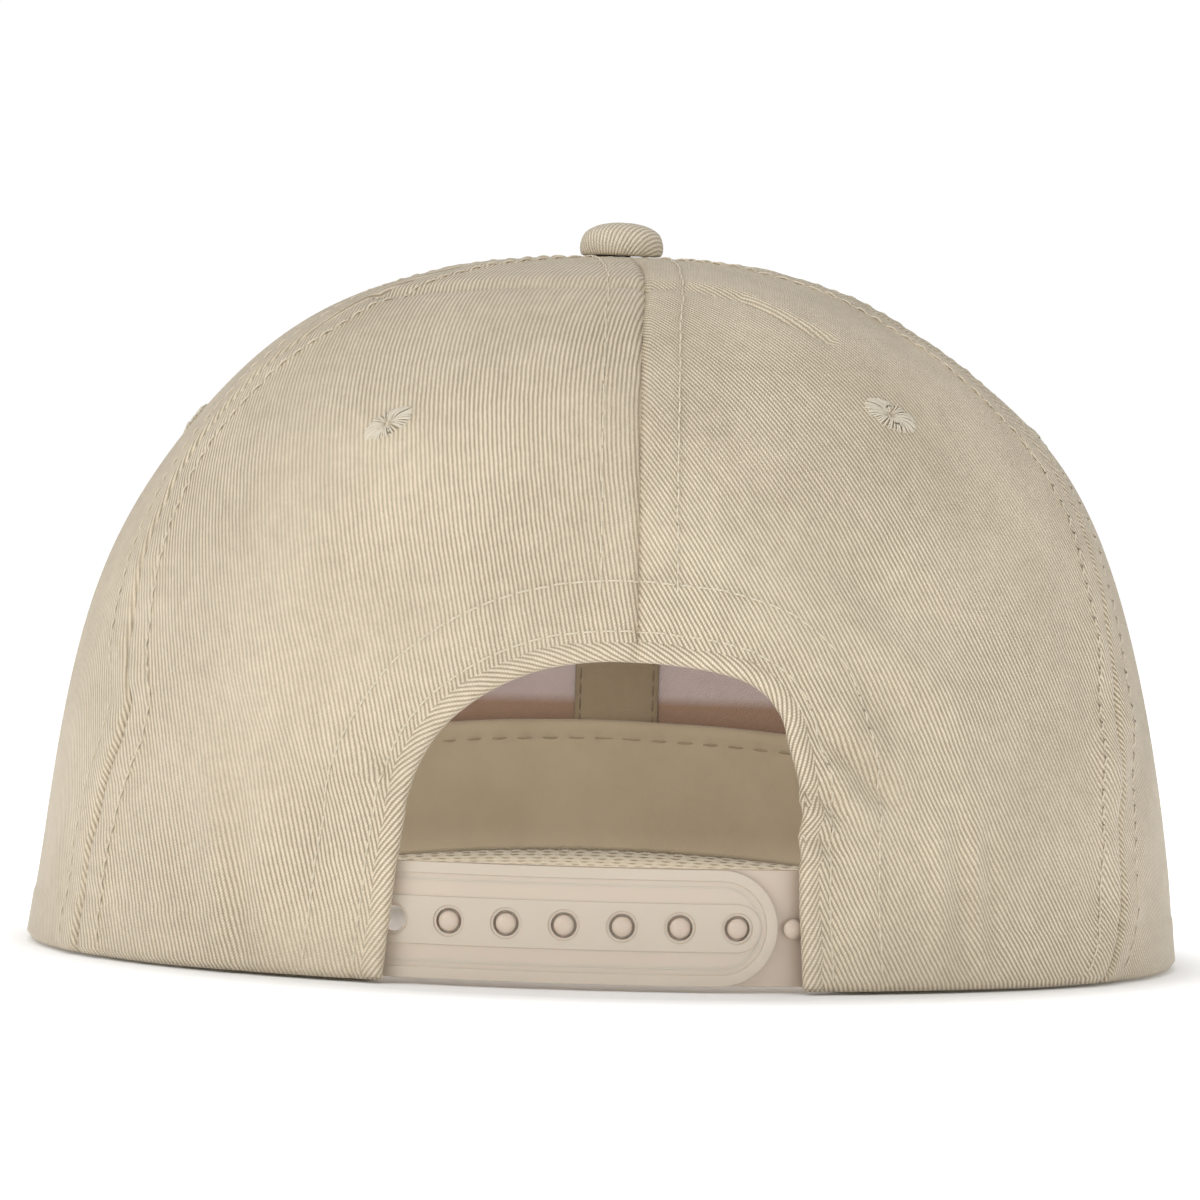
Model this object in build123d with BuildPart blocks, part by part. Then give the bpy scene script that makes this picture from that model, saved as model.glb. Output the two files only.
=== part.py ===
"""Six-panel baseball cap with a plastic snap closure, in millimetres.

The origin is the centre of the head opening on the surface the cap stands on. +Z is up, the visor
points towards -Y, the arched back opening faces +Y and the wearer's left is +X.
"""

from build123d import *
from math import cos, degrees, radians, sin, sqrt
import os

os.makedirs("parts", exist_ok=True)

# Crown shape
HALF_WIDTH = 102.0
BACK_REACH = 83.0
FRONT_REACH = 84.0
CROWN_HEIGHT = 123.0
APEX_Y = 5.0
SIDE_LEAN, BACK_LEAN, FRONT_LEAN = 8.0, 2.0, 4.0
SIDE_RISE, BACK_RISE, FRONT_RISE = 0.60, 0.75, 0.78
SIDE_FULL, BACK_FULL, FRONT_FULL = 0.82, 0.88, 0.68
APEX_SHARE = 0.996

# Seams, as vertical planes through the apex, measured from the back centre
BACK_SEAM = 72.0
FRONT_SEAM = 120.0

# Layers of the crown wall, as depths below its outer face
CLOTH = 0.6
BACKING_DEPTH = 0.68
BACKING_CLOTH = 0.5
TAPE_DEPTH = 1.26
TAPE_CLOTH = 0.35
CENTRE_TAPE_DEPTH = 1.70
TAPE_WIDTH = 16.0
LAYER_GAP = 0.08

# Arched back opening
ARCH_HALF_WIDTH = 35.6
ARCH_STRAIGHT = 30.0
ARCH_TOP = 55.0
FACING_WIDTH = 14.0

# Sweatband
BAND_HEIGHT = 25.0
BAND_DEPTH = 2.5
BAND_DEPTH_AT_STRAP = 5.3
CORE_CLOTH = 0.6
BAND_CLOTH = 0.5
BAND_END_MARGIN = 3.5

# Eyelets
EYELET_HEIGHT = 93.0
EYELET_RADIUS = 4.8
EYELET_HOLE = 0.7
EYELET_BARREL = 1.4
EYELET_PUNCH = 1.55
EYELET_THICKNESS = 0.45
BACK_EYELET, SIDE_EYELET, FRONT_EYELET = 40.0, 96.0, 149.0

# Visor
VISOR_BEND = 386.0
VISOR_ROOT_Z = 14.5
VISOR_DROP = 0.061
VISOR_TIP_Y = 39.0
VISOR_REACH = 70.0
VISOR_HALF_WIDTH = 93.0
BOARD = 2.0
VISOR_CLOTH = 0.5
VISOR_LIP = 0.9
VISOR_GAP = 0.05

# Button
BUTTON_RADIUS = 7.35
BUTTON_HEIGHT = 6.0
BUTTON_CLOTH = 0.6
BUTTON_LIP = 0.5
BUTTON_MOUTH = 5.1
SHELL_METAL = 0.6
TACK_RADIUS = 1.6
TACK_HOLE = 2.2
TACK_PLATE_RADIUS = 5.5
TACK_PLATE = 0.8

# Snap closure
STRAP_RADIUS = 122.7
STRAP_CENTRE_Y = BACK_REACH - 125.0
STRAP = 1.2
STRAP_HEIGHT = 19.6
STRAP_LIFT = 0.5
STRAP_GAP = 0.15
SNAP_PITCH = 9.75
SNAP_COUNT = 7
FIRST_PEG = -33.6
FIRST_HOLE = FIRST_PEG + SNAP_PITCH
STRAP_END = 7.0
SNAP_HOLE = 2.2
PEG_RADIUS = 1.6
PEG_HEIGHT = 1.55
RING_RADIUS = 2.7
RING_DEPTH = 0.3
RIM = 1.7
BAND_RELIEF = 8.1
RELIEF_DEPTH = 0.25
TAB_END = 46.0
HOLE_PIVOT = 34.3
PEG_PIVOT = -36.6
PIVOT_GAP = 0.15


def save(part, label):
    """Label a finished piece and write it as its own STEP."""
    part.label = label
    export_step(part, f"parts/{label}.step")


def smooth(value):
    """Ease from 0 to 1 with flat ends."""
    value = min(1.0, max(0.0, value))
    return value * value * (3 - 2 * value)


def mix(azimuth, side, back, front):
    """Blend a side value with the back or front value around the crown."""
    end = back if cos(azimuth) > 0 else front
    return side * sin(azimuth) ** 2 + end * cos(azimuth) ** 2


def visor_underside(x, y):
    """Height of the visor's underside, a cylinder that dips towards the front."""
    sag = VISOR_BEND - sqrt(VISOR_BEND**2 - x**2)
    return VISOR_ROOT_Z - VISOR_DROP * (-y - VISOR_TIP_Y) - sag


def hem_radius(azimuth):
    """Distance of the hem from the head opening's centre."""
    reach = mix(azimuth, 0, BACK_REACH, FRONT_REACH) / cos(azimuth) ** 2 if cos(azimuth) else 1
    return 1 / sqrt((sin(azimuth) / HALF_WIDTH) ** 2 + (cos(azimuth) / reach) ** 2)


def outer_point(azimuth, share):
    """Point of the crown's outer face: share runs from 0 at the hem to 1 at the apex."""
    radius = hem_radius(azimuth)
    lean = mix(azimuth, SIDE_LEAN, BACK_LEAN, FRONT_LEAN)
    rise = mix(azimuth, SIDE_RISE, BACK_RISE, FRONT_RISE)
    full = mix(azimuth, SIDE_FULL, BACK_FULL, FRONT_FULL)
    y = radius * cos(azimuth)
    hem = visor_underside(radius * sin(azimuth), y) * smooth(-y / VISOR_TIP_Y)
    rest = 1 - share
    low, mid, high = 3 * rest**2 * share, 3 * rest * share**2, share**3
    reach = rest**3 * radius + low * (radius - lean) + mid * full * radius
    height = rest**3 * hem + low * (hem + rise * CROWN_HEIGHT) + (mid + high) * CROWN_HEIGHT
    shift = APEX_Y * (height / CROWN_HEIGHT) ** 2
    return Vector(reach * sin(azimuth), reach * cos(azimuth) + shift, height)


def outward(azimuth, share):
    """Unit normal of the crown's outer face."""
    step = 1e-3
    low, high = max(0.0, share - step), min(APEX_SHARE, share + step)
    along = outer_point(azimuth + step, share) - outer_point(azimuth - step, share)
    up = outer_point(azimuth, high) - outer_point(azimuth, low)
    return up.cross(along).normalized()


def layer_point(azimuth, share, depth):
    """Point of the crown wall at a depth below its outer face."""
    return outer_point(azimuth, share) - outward(azimuth, share) * depth


def share_at(azimuth, height):
    """Share of the way up the wall where it reaches a height above the hem."""
    low, high = 0.0, 1.0
    goal = outer_point(azimuth, 0).Z + height
    for _ in range(40):
        middle = (low + high) / 2
        if outer_point(azimuth, middle).Z < goal:
            low = middle
        else:
            high = middle
    return low


def steps(first, last, count):
    """Evenly spaced values from first to last."""
    return [first + (last - first) * i / count for i in range(count + 1)]


def wall_face(first, last, depth):
    """Face of the crown wall from hem to apex between two azimuths in degrees."""
    columns = steps(radians(first), radians(last), max(6, int(abs(last - first) / 5)))
    rows = steps(0, APEX_SHARE, 24)
    return Face.make_surface_from_array_of_points(
        [[layer_point(azimuth, share, depth) for share in rows] for azimuth in columns]
    )


def band_depth(azimuth):
    """The sweatband stands further off the wall where the closure is sewn in."""
    near = smooth((60 - abs(degrees(azimuth))) / 24)
    return BAND_DEPTH + (BAND_DEPTH_AT_STRAP - BAND_DEPTH) * near


def band_face(extra, low, high):
    """Face of the right half of the sweatband's ring, between two heights above the hem."""
    columns = steps(radians(14), radians(183), 40)
    rows = steps(low, high, 5)
    return Face.make_surface_from_array_of_points(
        [
            [layer_point(a, share_at(a, z), band_depth(a) + extra) for z in rows]
            for a in columns
        ]
    )


def seam_plane(azimuth, shift=0.0):
    """Vertical plane through the apex along a seam, moved sideways by shift."""
    angle = radians(azimuth)
    side = Vector(cos(angle), -sin(angle), 0)
    return Plane(
        origin=Vector(0, APEX_Y, 0) + side * shift, x_dir=(sin(angle), cos(angle), 0), z_dir=side
    )


def wall_plane(azimuth, height):
    """Plane that touches the crown's outer face, facing outwards."""
    angle = radians(azimuth)
    share = share_at(angle, height - outer_point(angle, 0).Z)
    return Plane(origin=outer_point(angle, share), z_dir=outward(angle, share))


def arch(margin):
    """Outline of the back opening, grown by a margin, in the open sketch."""
    Rectangle(2 * (ARCH_HALF_WIDTH + margin), 2 * ARCH_STRAIGHT)
    with Locations((0, ARCH_STRAIGHT)):
        Ellipse(ARCH_HALF_WIDTH + margin, ARCH_TOP - ARCH_STRAIGHT + margin)


BACK_VIEW = Plane(origin=(0, BACK_REACH / 2, 0), x_dir=(-1, 0, 0), z_dir=(0, 1, 0))


def cut_arch(margin, mode):
    """Cut or keep the back opening's shape in the part under construction."""
    with BuildSketch(BACK_VIEW) as opening:
        arch(margin)
    extrude(opening.sketch, amount=BACK_REACH, mode=mode)


def punch(plane):
    """Punch an eyelet's hole through the part under construction."""
    with Locations(plane):
        Hole(EYELET_PUNCH, depth=4 * EYELET_PUNCH)


def panel(first, last, depth, cloth, eyelet):
    """One crown panel of the left half of the cap, between two seams."""
    start = max(first - 14, -4)
    finish = min(last + 8, 184)
    with BuildPart() as wall:
        thicken(wall_face(start, finish, depth), amount=cloth)
        split(bisect_by=Plane.YZ, keep=Keep.TOP)
        if first > 0:
            split(bisect_by=seam_plane(first), keep=Keep.TOP)
        if last < 180:
            split(bisect_by=seam_plane(last), keep=Keep.BOTTOM)
        with Locations((0, APEX_Y, CROWN_HEIGHT)):
            Hole(TACK_HOLE)
        punch(wall_plane(eyelet, EYELET_HEIGHT))
        if first == 0:
            cut_arch(0, Mode.SUBTRACT)
    return wall.part


def seam_tape(azimuth):
    """Tape over one side seam of the left half, ending where it meets its neighbours."""
    mitre = (BACK_SEAM + FRONT_SEAM) / 2
    with BuildPart() as tape:
        thicken(wall_face(azimuth - 30, azimuth + 30, TAPE_DEPTH), amount=TAPE_CLOTH)
        split(bisect_by=seam_plane(azimuth, -TAPE_WIDTH / 2), keep=Keep.TOP)
        split(bisect_by=seam_plane(azimuth, TAPE_WIDTH / 2), keep=Keep.BOTTOM)
        beside = Keep.BOTTOM if azimuth < mitre else Keep.TOP
        split(bisect_by=seam_plane(mitre, LAYER_GAP), keep=beside)
        split(bisect_by=Plane.YZ.offset(LAYER_GAP), keep=Keep.TOP)
        with Locations((0, APEX_Y, CROWN_HEIGHT)):
            Hole(TACK_HOLE)
    return tape.part


def centre_tape_run(first, last, keep):
    """Half the width of the centre tape, on one side of the apex."""
    with BuildPart() as run:
        thicken(wall_face(first, last, CENTRE_TAPE_DEPTH), amount=TAPE_CLOTH)
        split(bisect_by=seam_plane(90), keep=keep)
        split(bisect_by=Plane.YZ, keep=Keep.TOP)
        split(bisect_by=Plane.YZ.offset(TAPE_WIDTH / 2), keep=Keep.BOTTOM)
    return run.part


def centre_seam_tape():
    """The tape that runs from the front hem over the top to the back opening."""
    back = centre_tape_run(-4, 96, Keep.BOTTOM)
    front = centre_tape_run(84, 184, Keep.TOP)
    with BuildPart() as tape:
        add(back)
        add(front)
        cut_arch(0, Mode.SUBTRACT)
        with Locations((0, APEX_Y, CROWN_HEIGHT)):
            Hole(TACK_HOLE)
        mirror(about=Plane.YZ)
    return tape.part


def arch_facing():
    """Hem tape inside the edge of the back opening."""
    with BuildPart() as facing:
        thicken(wall_face(-4, 50, BACKING_DEPTH), amount=BACKING_CLOTH)
        split(bisect_by=Plane.YZ, keep=Keep.TOP)
        cut_arch(FACING_WIDTH, Mode.INTERSECT)
        cut_arch(0, Mode.SUBTRACT)
        mirror(about=Plane.YZ)
    return facing.part


def sweatband(extra, low, high, cloth):
    """A ring of cloth inside the hem, open across the back opening."""
    with BuildPart() as ring:
        thicken(band_face(extra, low, high), amount=cloth)
        split(bisect_by=Plane.YZ, keep=Keep.TOP)
        cut_arch(BAND_END_MARGIN, Mode.SUBTRACT)
        mirror(about=Plane.YZ)
    return ring.part


def visor_outline(margin):
    """Plan outline of the visor, grown outwards by a margin, in the open sketch."""
    front = FRONT_REACH + VISOR_REACH + margin
    side = VISOR_HALF_WIDTH + margin
    tip = (HALF_WIDTH * 0.885, -VISOR_TIP_Y)
    with BuildLine() as outline:
        rim = Spline(
            tip,
            (side, -0.52 * front),
            (0.80 * side, -0.80 * front),
            (0.43 * side, -0.955 * front),
            (0, -front),
            tangents=[(0.10, -1), (-1, 0)],
        )
        mirror(rim, about=Plane.YZ)
        Line(tip, (-tip[0], tip[1]))
    make_face(outline.edges())
    Ellipse(HALF_WIDTH + LAYER_GAP, FRONT_REACH + LAYER_GAP, mode=Mode.SUBTRACT)


def visor_sheet(low, high, margin):
    """A curved sheet of the visor between two heights above its underside."""
    slope = Vector(0, -1, -VISOR_DROP).normalized()
    tilted = Plane(origin=(0, -VISOR_TIP_Y, VISOR_ROOT_Z), x_dir=(1, 0, 0), z_dir=slope)
    with BuildPart() as sheet:
        with BuildSketch(tilted):
            with Locations((0, -VISOR_BEND)):
                Circle(VISOR_BEND + high)
                Circle(VISOR_BEND + low, mode=Mode.SUBTRACT)
            Rectangle(3 * HALF_WIDTH, HALF_WIDTH, mode=Mode.INTERSECT)
        extrude(amount=2 * FRONT_REACH)
        with BuildSketch():
            visor_outline(margin)
        extrude(amount=CROWN_HEIGHT, both=True, mode=Mode.INTERSECT)
    return sheet.part


def visor_board():
    """The stiff board between the covers."""
    return visor_sheet(VISOR_CLOTH + VISOR_GAP, VISOR_CLOTH + VISOR_GAP + BOARD, 0)


def visor_cover(low, high, inner_low, inner_high):
    """Cloth cover with a lip that closes round the board's edge."""
    outside = visor_sheet(low, high, VISOR_LIP)
    inside = visor_sheet(inner_low, inner_high, VISOR_GAP)
    with BuildPart() as cover:
        add(outside)
        add(inside, mode=Mode.SUBTRACT)
    return cover.part


def dome(radius, height, inset):
    """Half profile of a low dome, smaller by inset, about the open sketch's vertical axis."""
    side = 0.45 * height
    with BuildLine() as profile:
        Polyline((0, height - inset), (0, 0), (radius - inset, 0), (radius - inset, side))
        Spline(
            (radius - inset, side),
            (0.72 * (radius - inset), 0.86 * (height - inset)),
            (0, height - inset),
            tangents=[(0, 1), (-1, 0)],
        )
    make_face(profile.edges())


def apex_section(lift):
    """Upright plane through the apex, its origin lifted above the crown."""
    return Plane(origin=(0, APEX_Y, CROWN_HEIGHT + lift), x_dir=(1, 0, 0), z_dir=(0, -1, 0))


def button_layer(base, outer, inner):
    """A cloth or metal dome with a turned-in lip, open below."""
    height = BUTTON_HEIGHT + LAYER_GAP - base
    with BuildPart() as layer:
        with BuildSketch(apex_section(base)):
            dome(BUTTON_RADIUS, height, outer)
        revolve(axis=Axis((0, APEX_Y, 0), (0, 0, 1)))
        with BuildSketch(apex_section(base + BUTTON_LIP)):
            dome(BUTTON_RADIUS, height - BUTTON_LIP, inner)
        revolve(axis=Axis((0, APEX_Y, 0), (0, 0, 1)), mode=Mode.SUBTRACT)
        with Locations((0, APEX_Y, CROWN_HEIGHT + base)):
            Hole(BUTTON_MOUTH, depth=2 * BUTTON_LIP)
    return layer.part


def button_tack():
    """Rivet through the crown's apex, with its plate under the tapes."""
    top = CROWN_HEIGHT + 1.8
    bottom = CROWN_HEIGHT - CENTRE_TAPE_DEPTH - TAPE_CLOTH - LAYER_GAP
    with BuildPart() as tack:
        with BuildSketch(Plane.XY.offset(bottom - TACK_PLATE)):
            with Locations((0, APEX_Y)):
                Circle(TACK_PLATE_RADIUS)
        extrude(amount=TACK_PLATE)
        with BuildSketch(Plane.XY.offset(bottom)):
            with Locations((0, APEX_Y)):
                Circle(TACK_RADIUS)
        extrude(amount=top - bottom)
        with BuildSketch(Plane.XY.offset(top - TACK_PLATE)):
            with Locations((0, APEX_Y)):
                Circle(2.6 * TACK_RADIUS)
        extrude(amount=TACK_PLATE)
        fillet(tack.faces().sort_by(Axis.Z)[0].edges(), TACK_PLATE / 3)
    return tack.part


def eyelet(azimuth):
    """Embroidered eyelet: a ring on the cloth with a short barrel through it."""
    with BuildPart() as ring:
        with BuildSketch(wall_plane(azimuth, EYELET_HEIGHT).offset(LAYER_GAP / 2)):
            Circle(EYELET_RADIUS)
        extrude(amount=EYELET_THICKNESS)
        fillet(ring.edges().filter_by(GeomType.CIRCLE), EYELET_THICKNESS / 3)
        with BuildSketch(wall_plane(azimuth, EYELET_HEIGHT).offset(-CLOTH - 0.2)):
            Circle(EYELET_BARREL)
        extrude(amount=CLOTH + 0.2 + LAYER_GAP)
        with Locations(wall_plane(azimuth, EYELET_HEIGHT)):
            Hole(EYELET_HOLE, depth=4 * EYELET_BARREL)
    return ring.part


def strap_plan(first, last, inner, outer):
    """Plan of a stretch of strap between two arc lengths from the back centre."""
    first_angle = 90 - degrees(first / STRAP_RADIUS)
    last_angle = 90 - degrees(last / STRAP_RADIUS)
    centre = (0, STRAP_CENTRE_Y)
    with BuildLine() as plan:
        far = CenterArc(centre, outer, last_angle, first_angle - last_angle)
        near = CenterArc(centre, inner, last_angle, first_angle - last_angle)
        Line(far @ 0, near @ 0)
        Line(far @ 1, near @ 1)
    make_face(plan.edges())


def snap_plane(along, radius):
    """Plane that faces outwards on the strap at an arc length from the back centre."""
    angle = along / STRAP_RADIUS
    out = Vector(sin(angle), cos(angle), 0)
    centre = Vector(0, STRAP_CENTRE_Y, STRAP_LIFT + STRAP_HEIGHT / 2)
    return Plane(origin=centre + out * radius, x_dir=(cos(angle), -sin(angle), 0), z_dir=out)


def strap_block(first, last, inner, outer, low, high, mode=Mode.ADD):
    """A curved block of strap between two arc lengths, radii and heights."""
    with BuildSketch(Plane.XY.offset(STRAP_LIFT + low)) as plan:
        strap_plan(first, last, inner, outer)
    extrude(plan.sketch, amount=high - low, mode=mode)


def relief(first, last, outer):
    """Sunken fields above and below the strap's raised middle."""
    half = (STRAP_HEIGHT - BAND_RELIEF) / 2
    floor = outer - RELIEF_DEPTH
    strap_block(first, last, floor, outer + 1, RIM, half, Mode.SUBTRACT)
    strap_block(first, last, floor, outer + 1, STRAP_HEIGHT - half, STRAP_HEIGHT - RIM, Mode.SUBTRACT)


def round_tip(tip, toward, outer):
    """Round the strap's free end."""
    reach = toward * STRAP_HEIGHT
    with BuildSketch(snap_plane(tip, outer - 2 * STRAP_HEIGHT)) as shape:
        with Locations((-reach, 0)):
            RectangleRounded(2 * STRAP_HEIGHT, STRAP_HEIGHT, STRAP_HEIGHT * 0.49)
        with Locations((-4 * reach, 0)):
            Rectangle(6.4 * STRAP_HEIGHT, STRAP_HEIGHT)
    extrude(shape.sketch, amount=4 * STRAP_HEIGHT, mode=Mode.INTERSECT)


def pivot_point(along, radius):
    """Plan position of a strap's swing axis."""
    angle = along / STRAP_RADIUS
    return (radius * sin(angle), STRAP_CENTRE_Y + radius * cos(angle))


def snap_holes(outer):
    """The row of holes, each in its sunken ring."""
    for index in range(SNAP_COUNT):
        with Locations(snap_plane(FIRST_HOLE + index * SNAP_PITCH, outer)):
            CounterBoreHole(SNAP_HOLE, RING_RADIUS, RING_DEPTH, depth=2 * STRAP)


def hole_strap():
    """The outer strap, from its swing axis at the wearer's left to its free end."""
    outer = STRAP_RADIUS
    tip = FIRST_HOLE - STRAP_END
    with BuildPart() as strap:
        strap_block(tip, HOLE_PIVOT, outer - STRAP, outer, 0, STRAP_HEIGHT)
        round_tip(tip, -1, outer)
        relief(tip + STRAP_END, HOLE_PIVOT - RIM, outer)
        with BuildSketch(Plane.XY.offset(STRAP_LIFT)):
            with Locations(pivot_point(HOLE_PIVOT, outer - STRAP / 2)):
                Circle(STRAP / 2)
        extrude(amount=STRAP_HEIGHT)
        snap_holes(outer)
    return strap.part


def hole_strap_tab():
    """The outer strap's end that is sewn in behind the back left panel."""
    outer = STRAP_RADIUS
    with BuildPart() as tab:
        start = HOLE_PIVOT + STRAP / 2 + PIVOT_GAP
        strap_block(start, TAB_END, outer - STRAP, outer, 0, STRAP_HEIGHT)
        snap_holes(outer)
    return tab.part


def peg_strap():
    """The inner strap with its pegs, from its swing axis at the wearer's right."""
    outer = STRAP_RADIUS - STRAP - STRAP_GAP
    tip = FIRST_PEG + (SNAP_COUNT - 1) * SNAP_PITCH + STRAP_END
    with BuildPart() as strap:
        strap_block(PEG_PIVOT, tip, outer - STRAP, outer, 0, STRAP_HEIGHT)
        round_tip(tip, 1, outer)
        with BuildSketch(Plane.XY.offset(STRAP_LIFT)):
            with Locations(pivot_point(PEG_PIVOT, outer - STRAP / 2)):
                Circle(STRAP / 2)
        extrude(amount=STRAP_HEIGHT)
        for index in range(SNAP_COUNT):
            with BuildSketch(snap_plane(FIRST_PEG + index * SNAP_PITCH, outer - STRAP / 2)):
                Circle(PEG_RADIUS)
            extrude(amount=STRAP / 2 + PEG_HEIGHT)
    return strap.part


def peg_strap_tab():
    """The inner strap's end that is sewn in behind the back right panel."""
    outer = STRAP_RADIUS - STRAP - STRAP_GAP
    with BuildPart() as tab:
        end = PEG_PIVOT - STRAP / 2 - PIVOT_GAP
        strap_block(-TAB_END, end, outer - STRAP, outer, 0, STRAP_HEIGHT)
    return tab.part


def save_pair(part, place, name):
    """Write a piece of the left half and its mirror image on the right."""
    save(part, f"{place}_left_{name}")
    save(part.mirror(Plane.YZ), f"{place}_right_{name}")


save_pair(panel(0, BACK_SEAM, 0, CLOTH, BACK_EYELET), "back", "panel")
save_pair(panel(BACK_SEAM, FRONT_SEAM, 0, CLOTH, SIDE_EYELET), "side", "panel")
save_pair(panel(FRONT_SEAM, 180, 0, CLOTH, FRONT_EYELET), "front", "panel")
save_pair(panel(FRONT_SEAM, 180, BACKING_DEPTH, BACKING_CLOTH, FRONT_EYELET), "front", "backing")
save_pair(seam_tape(BACK_SEAM), "back", "seam_tape")
save_pair(seam_tape(FRONT_SEAM), "front", "seam_tape")
save_pair(eyelet(BACK_EYELET), "back", "eyelet")
save_pair(eyelet(SIDE_EYELET), "side", "eyelet")
save_pair(eyelet(FRONT_EYELET), "front", "eyelet")
save(centre_seam_tape(), "centre_seam_tape")
save(arch_facing(), "arch_facing")
save(sweatband(0, 0.8, BAND_HEIGHT - 1, CORE_CLOTH), "sweatband_core")
save(sweatband(CORE_CLOTH + LAYER_GAP, 0.4, BAND_HEIGHT, BAND_CLOTH), "sweatband_facing")
save(visor_board(), "visor_board")
UNDER_TOP = VISOR_CLOTH + VISOR_GAP + BOARD / 2
VISOR_TOP = 2 * VISOR_CLOTH + 2 * VISOR_GAP + BOARD
save(visor_cover(0, UNDER_TOP - VISOR_GAP, VISOR_CLOTH, UNDER_TOP), "visor_under_cover")
save(visor_cover(UNDER_TOP, VISOR_TOP, UNDER_TOP - 1, VISOR_TOP - VISOR_CLOTH), "visor_top_cover")
SHELL_INSET = BUTTON_CLOTH + 0.1
save(button_layer(LAYER_GAP, 0, BUTTON_CLOTH), "button_cover")
save(button_layer(LAYER_GAP + SHELL_INSET, SHELL_INSET, SHELL_INSET + SHELL_METAL), "button_shell")
save(button_tack(), "button_tack")
save(hole_strap(), "hole_strap")
save(hole_strap_tab(), "hole_strap_tab")
save(peg_strap(), "peg_strap")
save(peg_strap_tab(), "peg_strap_tab")
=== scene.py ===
"""Adjustable baseball cap seen from behind: cloth, thread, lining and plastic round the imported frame.

Sizes are in millimetres and become metres when a mesh is made. Azimuths run from the back centre
(+Y) towards the wearer's left (+X), in radians inside the functions and degrees in the lists.
"""
import math

import bmesh
import bpy
import numpy as np
from mathutils import Matrix, Vector


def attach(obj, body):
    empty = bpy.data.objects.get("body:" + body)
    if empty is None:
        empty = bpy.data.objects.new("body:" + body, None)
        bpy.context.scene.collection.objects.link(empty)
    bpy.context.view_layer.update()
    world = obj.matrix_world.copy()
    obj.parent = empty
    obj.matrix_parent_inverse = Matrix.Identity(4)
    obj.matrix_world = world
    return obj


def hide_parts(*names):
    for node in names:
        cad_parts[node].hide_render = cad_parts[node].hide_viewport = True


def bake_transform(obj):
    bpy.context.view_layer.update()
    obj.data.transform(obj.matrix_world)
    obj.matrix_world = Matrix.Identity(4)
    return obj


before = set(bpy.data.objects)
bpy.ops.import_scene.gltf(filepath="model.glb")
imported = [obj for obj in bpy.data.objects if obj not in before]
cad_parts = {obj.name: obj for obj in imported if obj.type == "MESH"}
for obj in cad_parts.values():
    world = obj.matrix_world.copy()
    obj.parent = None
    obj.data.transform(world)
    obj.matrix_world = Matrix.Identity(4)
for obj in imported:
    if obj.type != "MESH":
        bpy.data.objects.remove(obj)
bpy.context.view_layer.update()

MM = 0.001
RANDOM = np.random.default_rng(7)

# Crown: the same driving dimensions as the frame's solids
HALF_WIDTH, BACK_REACH, FRONT_REACH = 102.0, 83.0, 84.0
CROWN_HEIGHT, APEX_Y = 123.0, 5.0
LEAN = {"side": 8.0, "back": 2.0, "front": 4.0}
RISE = {"side": 0.60, "back": 0.75, "front": 0.78}
FULL = {"side": 0.82, "back": 0.88, "front": 0.68}
VISOR_BEND, VISOR_ROOT_Z, VISOR_DROP, VISOR_TIP_Y = 386.0, 14.5, 0.061, 39.0
SEAMS = (0.0, 72.0, 120.0, 180.0, -120.0, -72.0)
# Thickness of the outer cloth and of what lines it
CLOTH, LINING = 0.6, 0.5
# Length, spacing and thread radius of a common stitch
STITCH, STITCH_PITCH, THREAD_RADIUS = 2.75, 3.1, 0.19
# Stitch rows: beside a seam, and round the opening's edge
SEAM_ROW, ARCH_ROWS = 6.4, (4.6, 13.0)
# The opening and its strap sit a little to the left of the back seam
ARCH_SHIFT = 3.4
SNAP_PITCH, FIRST_PEG, SNAP_COUNT = 9.75, -33.6, 7
STRAP_RADIUS, STRAP_CENTRE_Y, STRAP, STRAP_HEIGHT, STRAP_LIFT = 122.7, -42.0, 1.2, 19.6, 0.5

# The cap in hand is not quite even: its apex sits off centre and its shoulders are pressed in
APEX_X = -0.6
# Pressed places of the crown: x, y, z, half width and depth
DENTS = (
    (76.0, 8.0, 93.0, 24.0, 2.0),
    (-62.0, 8.0, 107.0, 24.0, 3.0),
    (-44.0, 34.0, 111.0, 14.0, 0.8),
    (-57.0, 46.0, 87.0, 15.0, 1.3),
    (-64.0, 62.0, 14.0, 11.0, 0.8),
    (18.0, 76.0, 86.0, 13.0, 0.7),
    (52.0, 66.0, 62.0, 12.0, -0.7),
    (-55.0, 64.0, 52.0, 13.0, -1.0),
    (-22.0, 76.0, 90.0, 12.0, 0.6),
    (58.0, 66.0, 18.0, 12.0, -0.5),
)
# How far each seam strays from its straight course, as heights and degrees
SEAM_BENDS = {
    0.0: ((0, 55, 90, 100, 107, 113, 118, 121), (-1.3, -1.3, -1.2, -1.4, -1.6, -2.2, -3.6, -4.6)),
    72.0: (
        (3, 18, 29, 37, 44, 52, 62, 74, 83, 92, 100, 108, 114, 121),
        (-0.6, -0.6, -1.6, -3.8, -4.2, -1.6, 0.0, 1.2, 1.6, 0.6, -2.0, -6.0, -6.5, -4.0),
    ),
    -72.0: (
        (0, 7, 13, 26, 33, 55, 72, 80, 88, 97, 110),
        (7.6, 4.8, 3.2, 2.0, 1.2, -1.9, -3.1, -4.6, -4.4, -2.0, 0.0),
    ),
}


# ---------------------------------------------------------------- shapes in millimetres


def smooth(value):
    """Ease from 0 to 1 with flat ends."""
    value = np.clip(value, 0.0, 1.0)
    return value * value * (3 - 2 * value)


def unit(vectors):
    """Vectors scaled to length 1."""
    return vectors / np.maximum(np.linalg.norm(vectors, axis=-1, keepdims=True), 1e-9)


def full_turn(count):
    """Evenly spaced angles once round."""
    return np.linspace(0, 2 * np.pi, count, endpoint=False)


def bell(distance, width):
    """A bump of height 1 and the given half width."""
    return np.exp(-((distance / width) ** 2))


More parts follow.
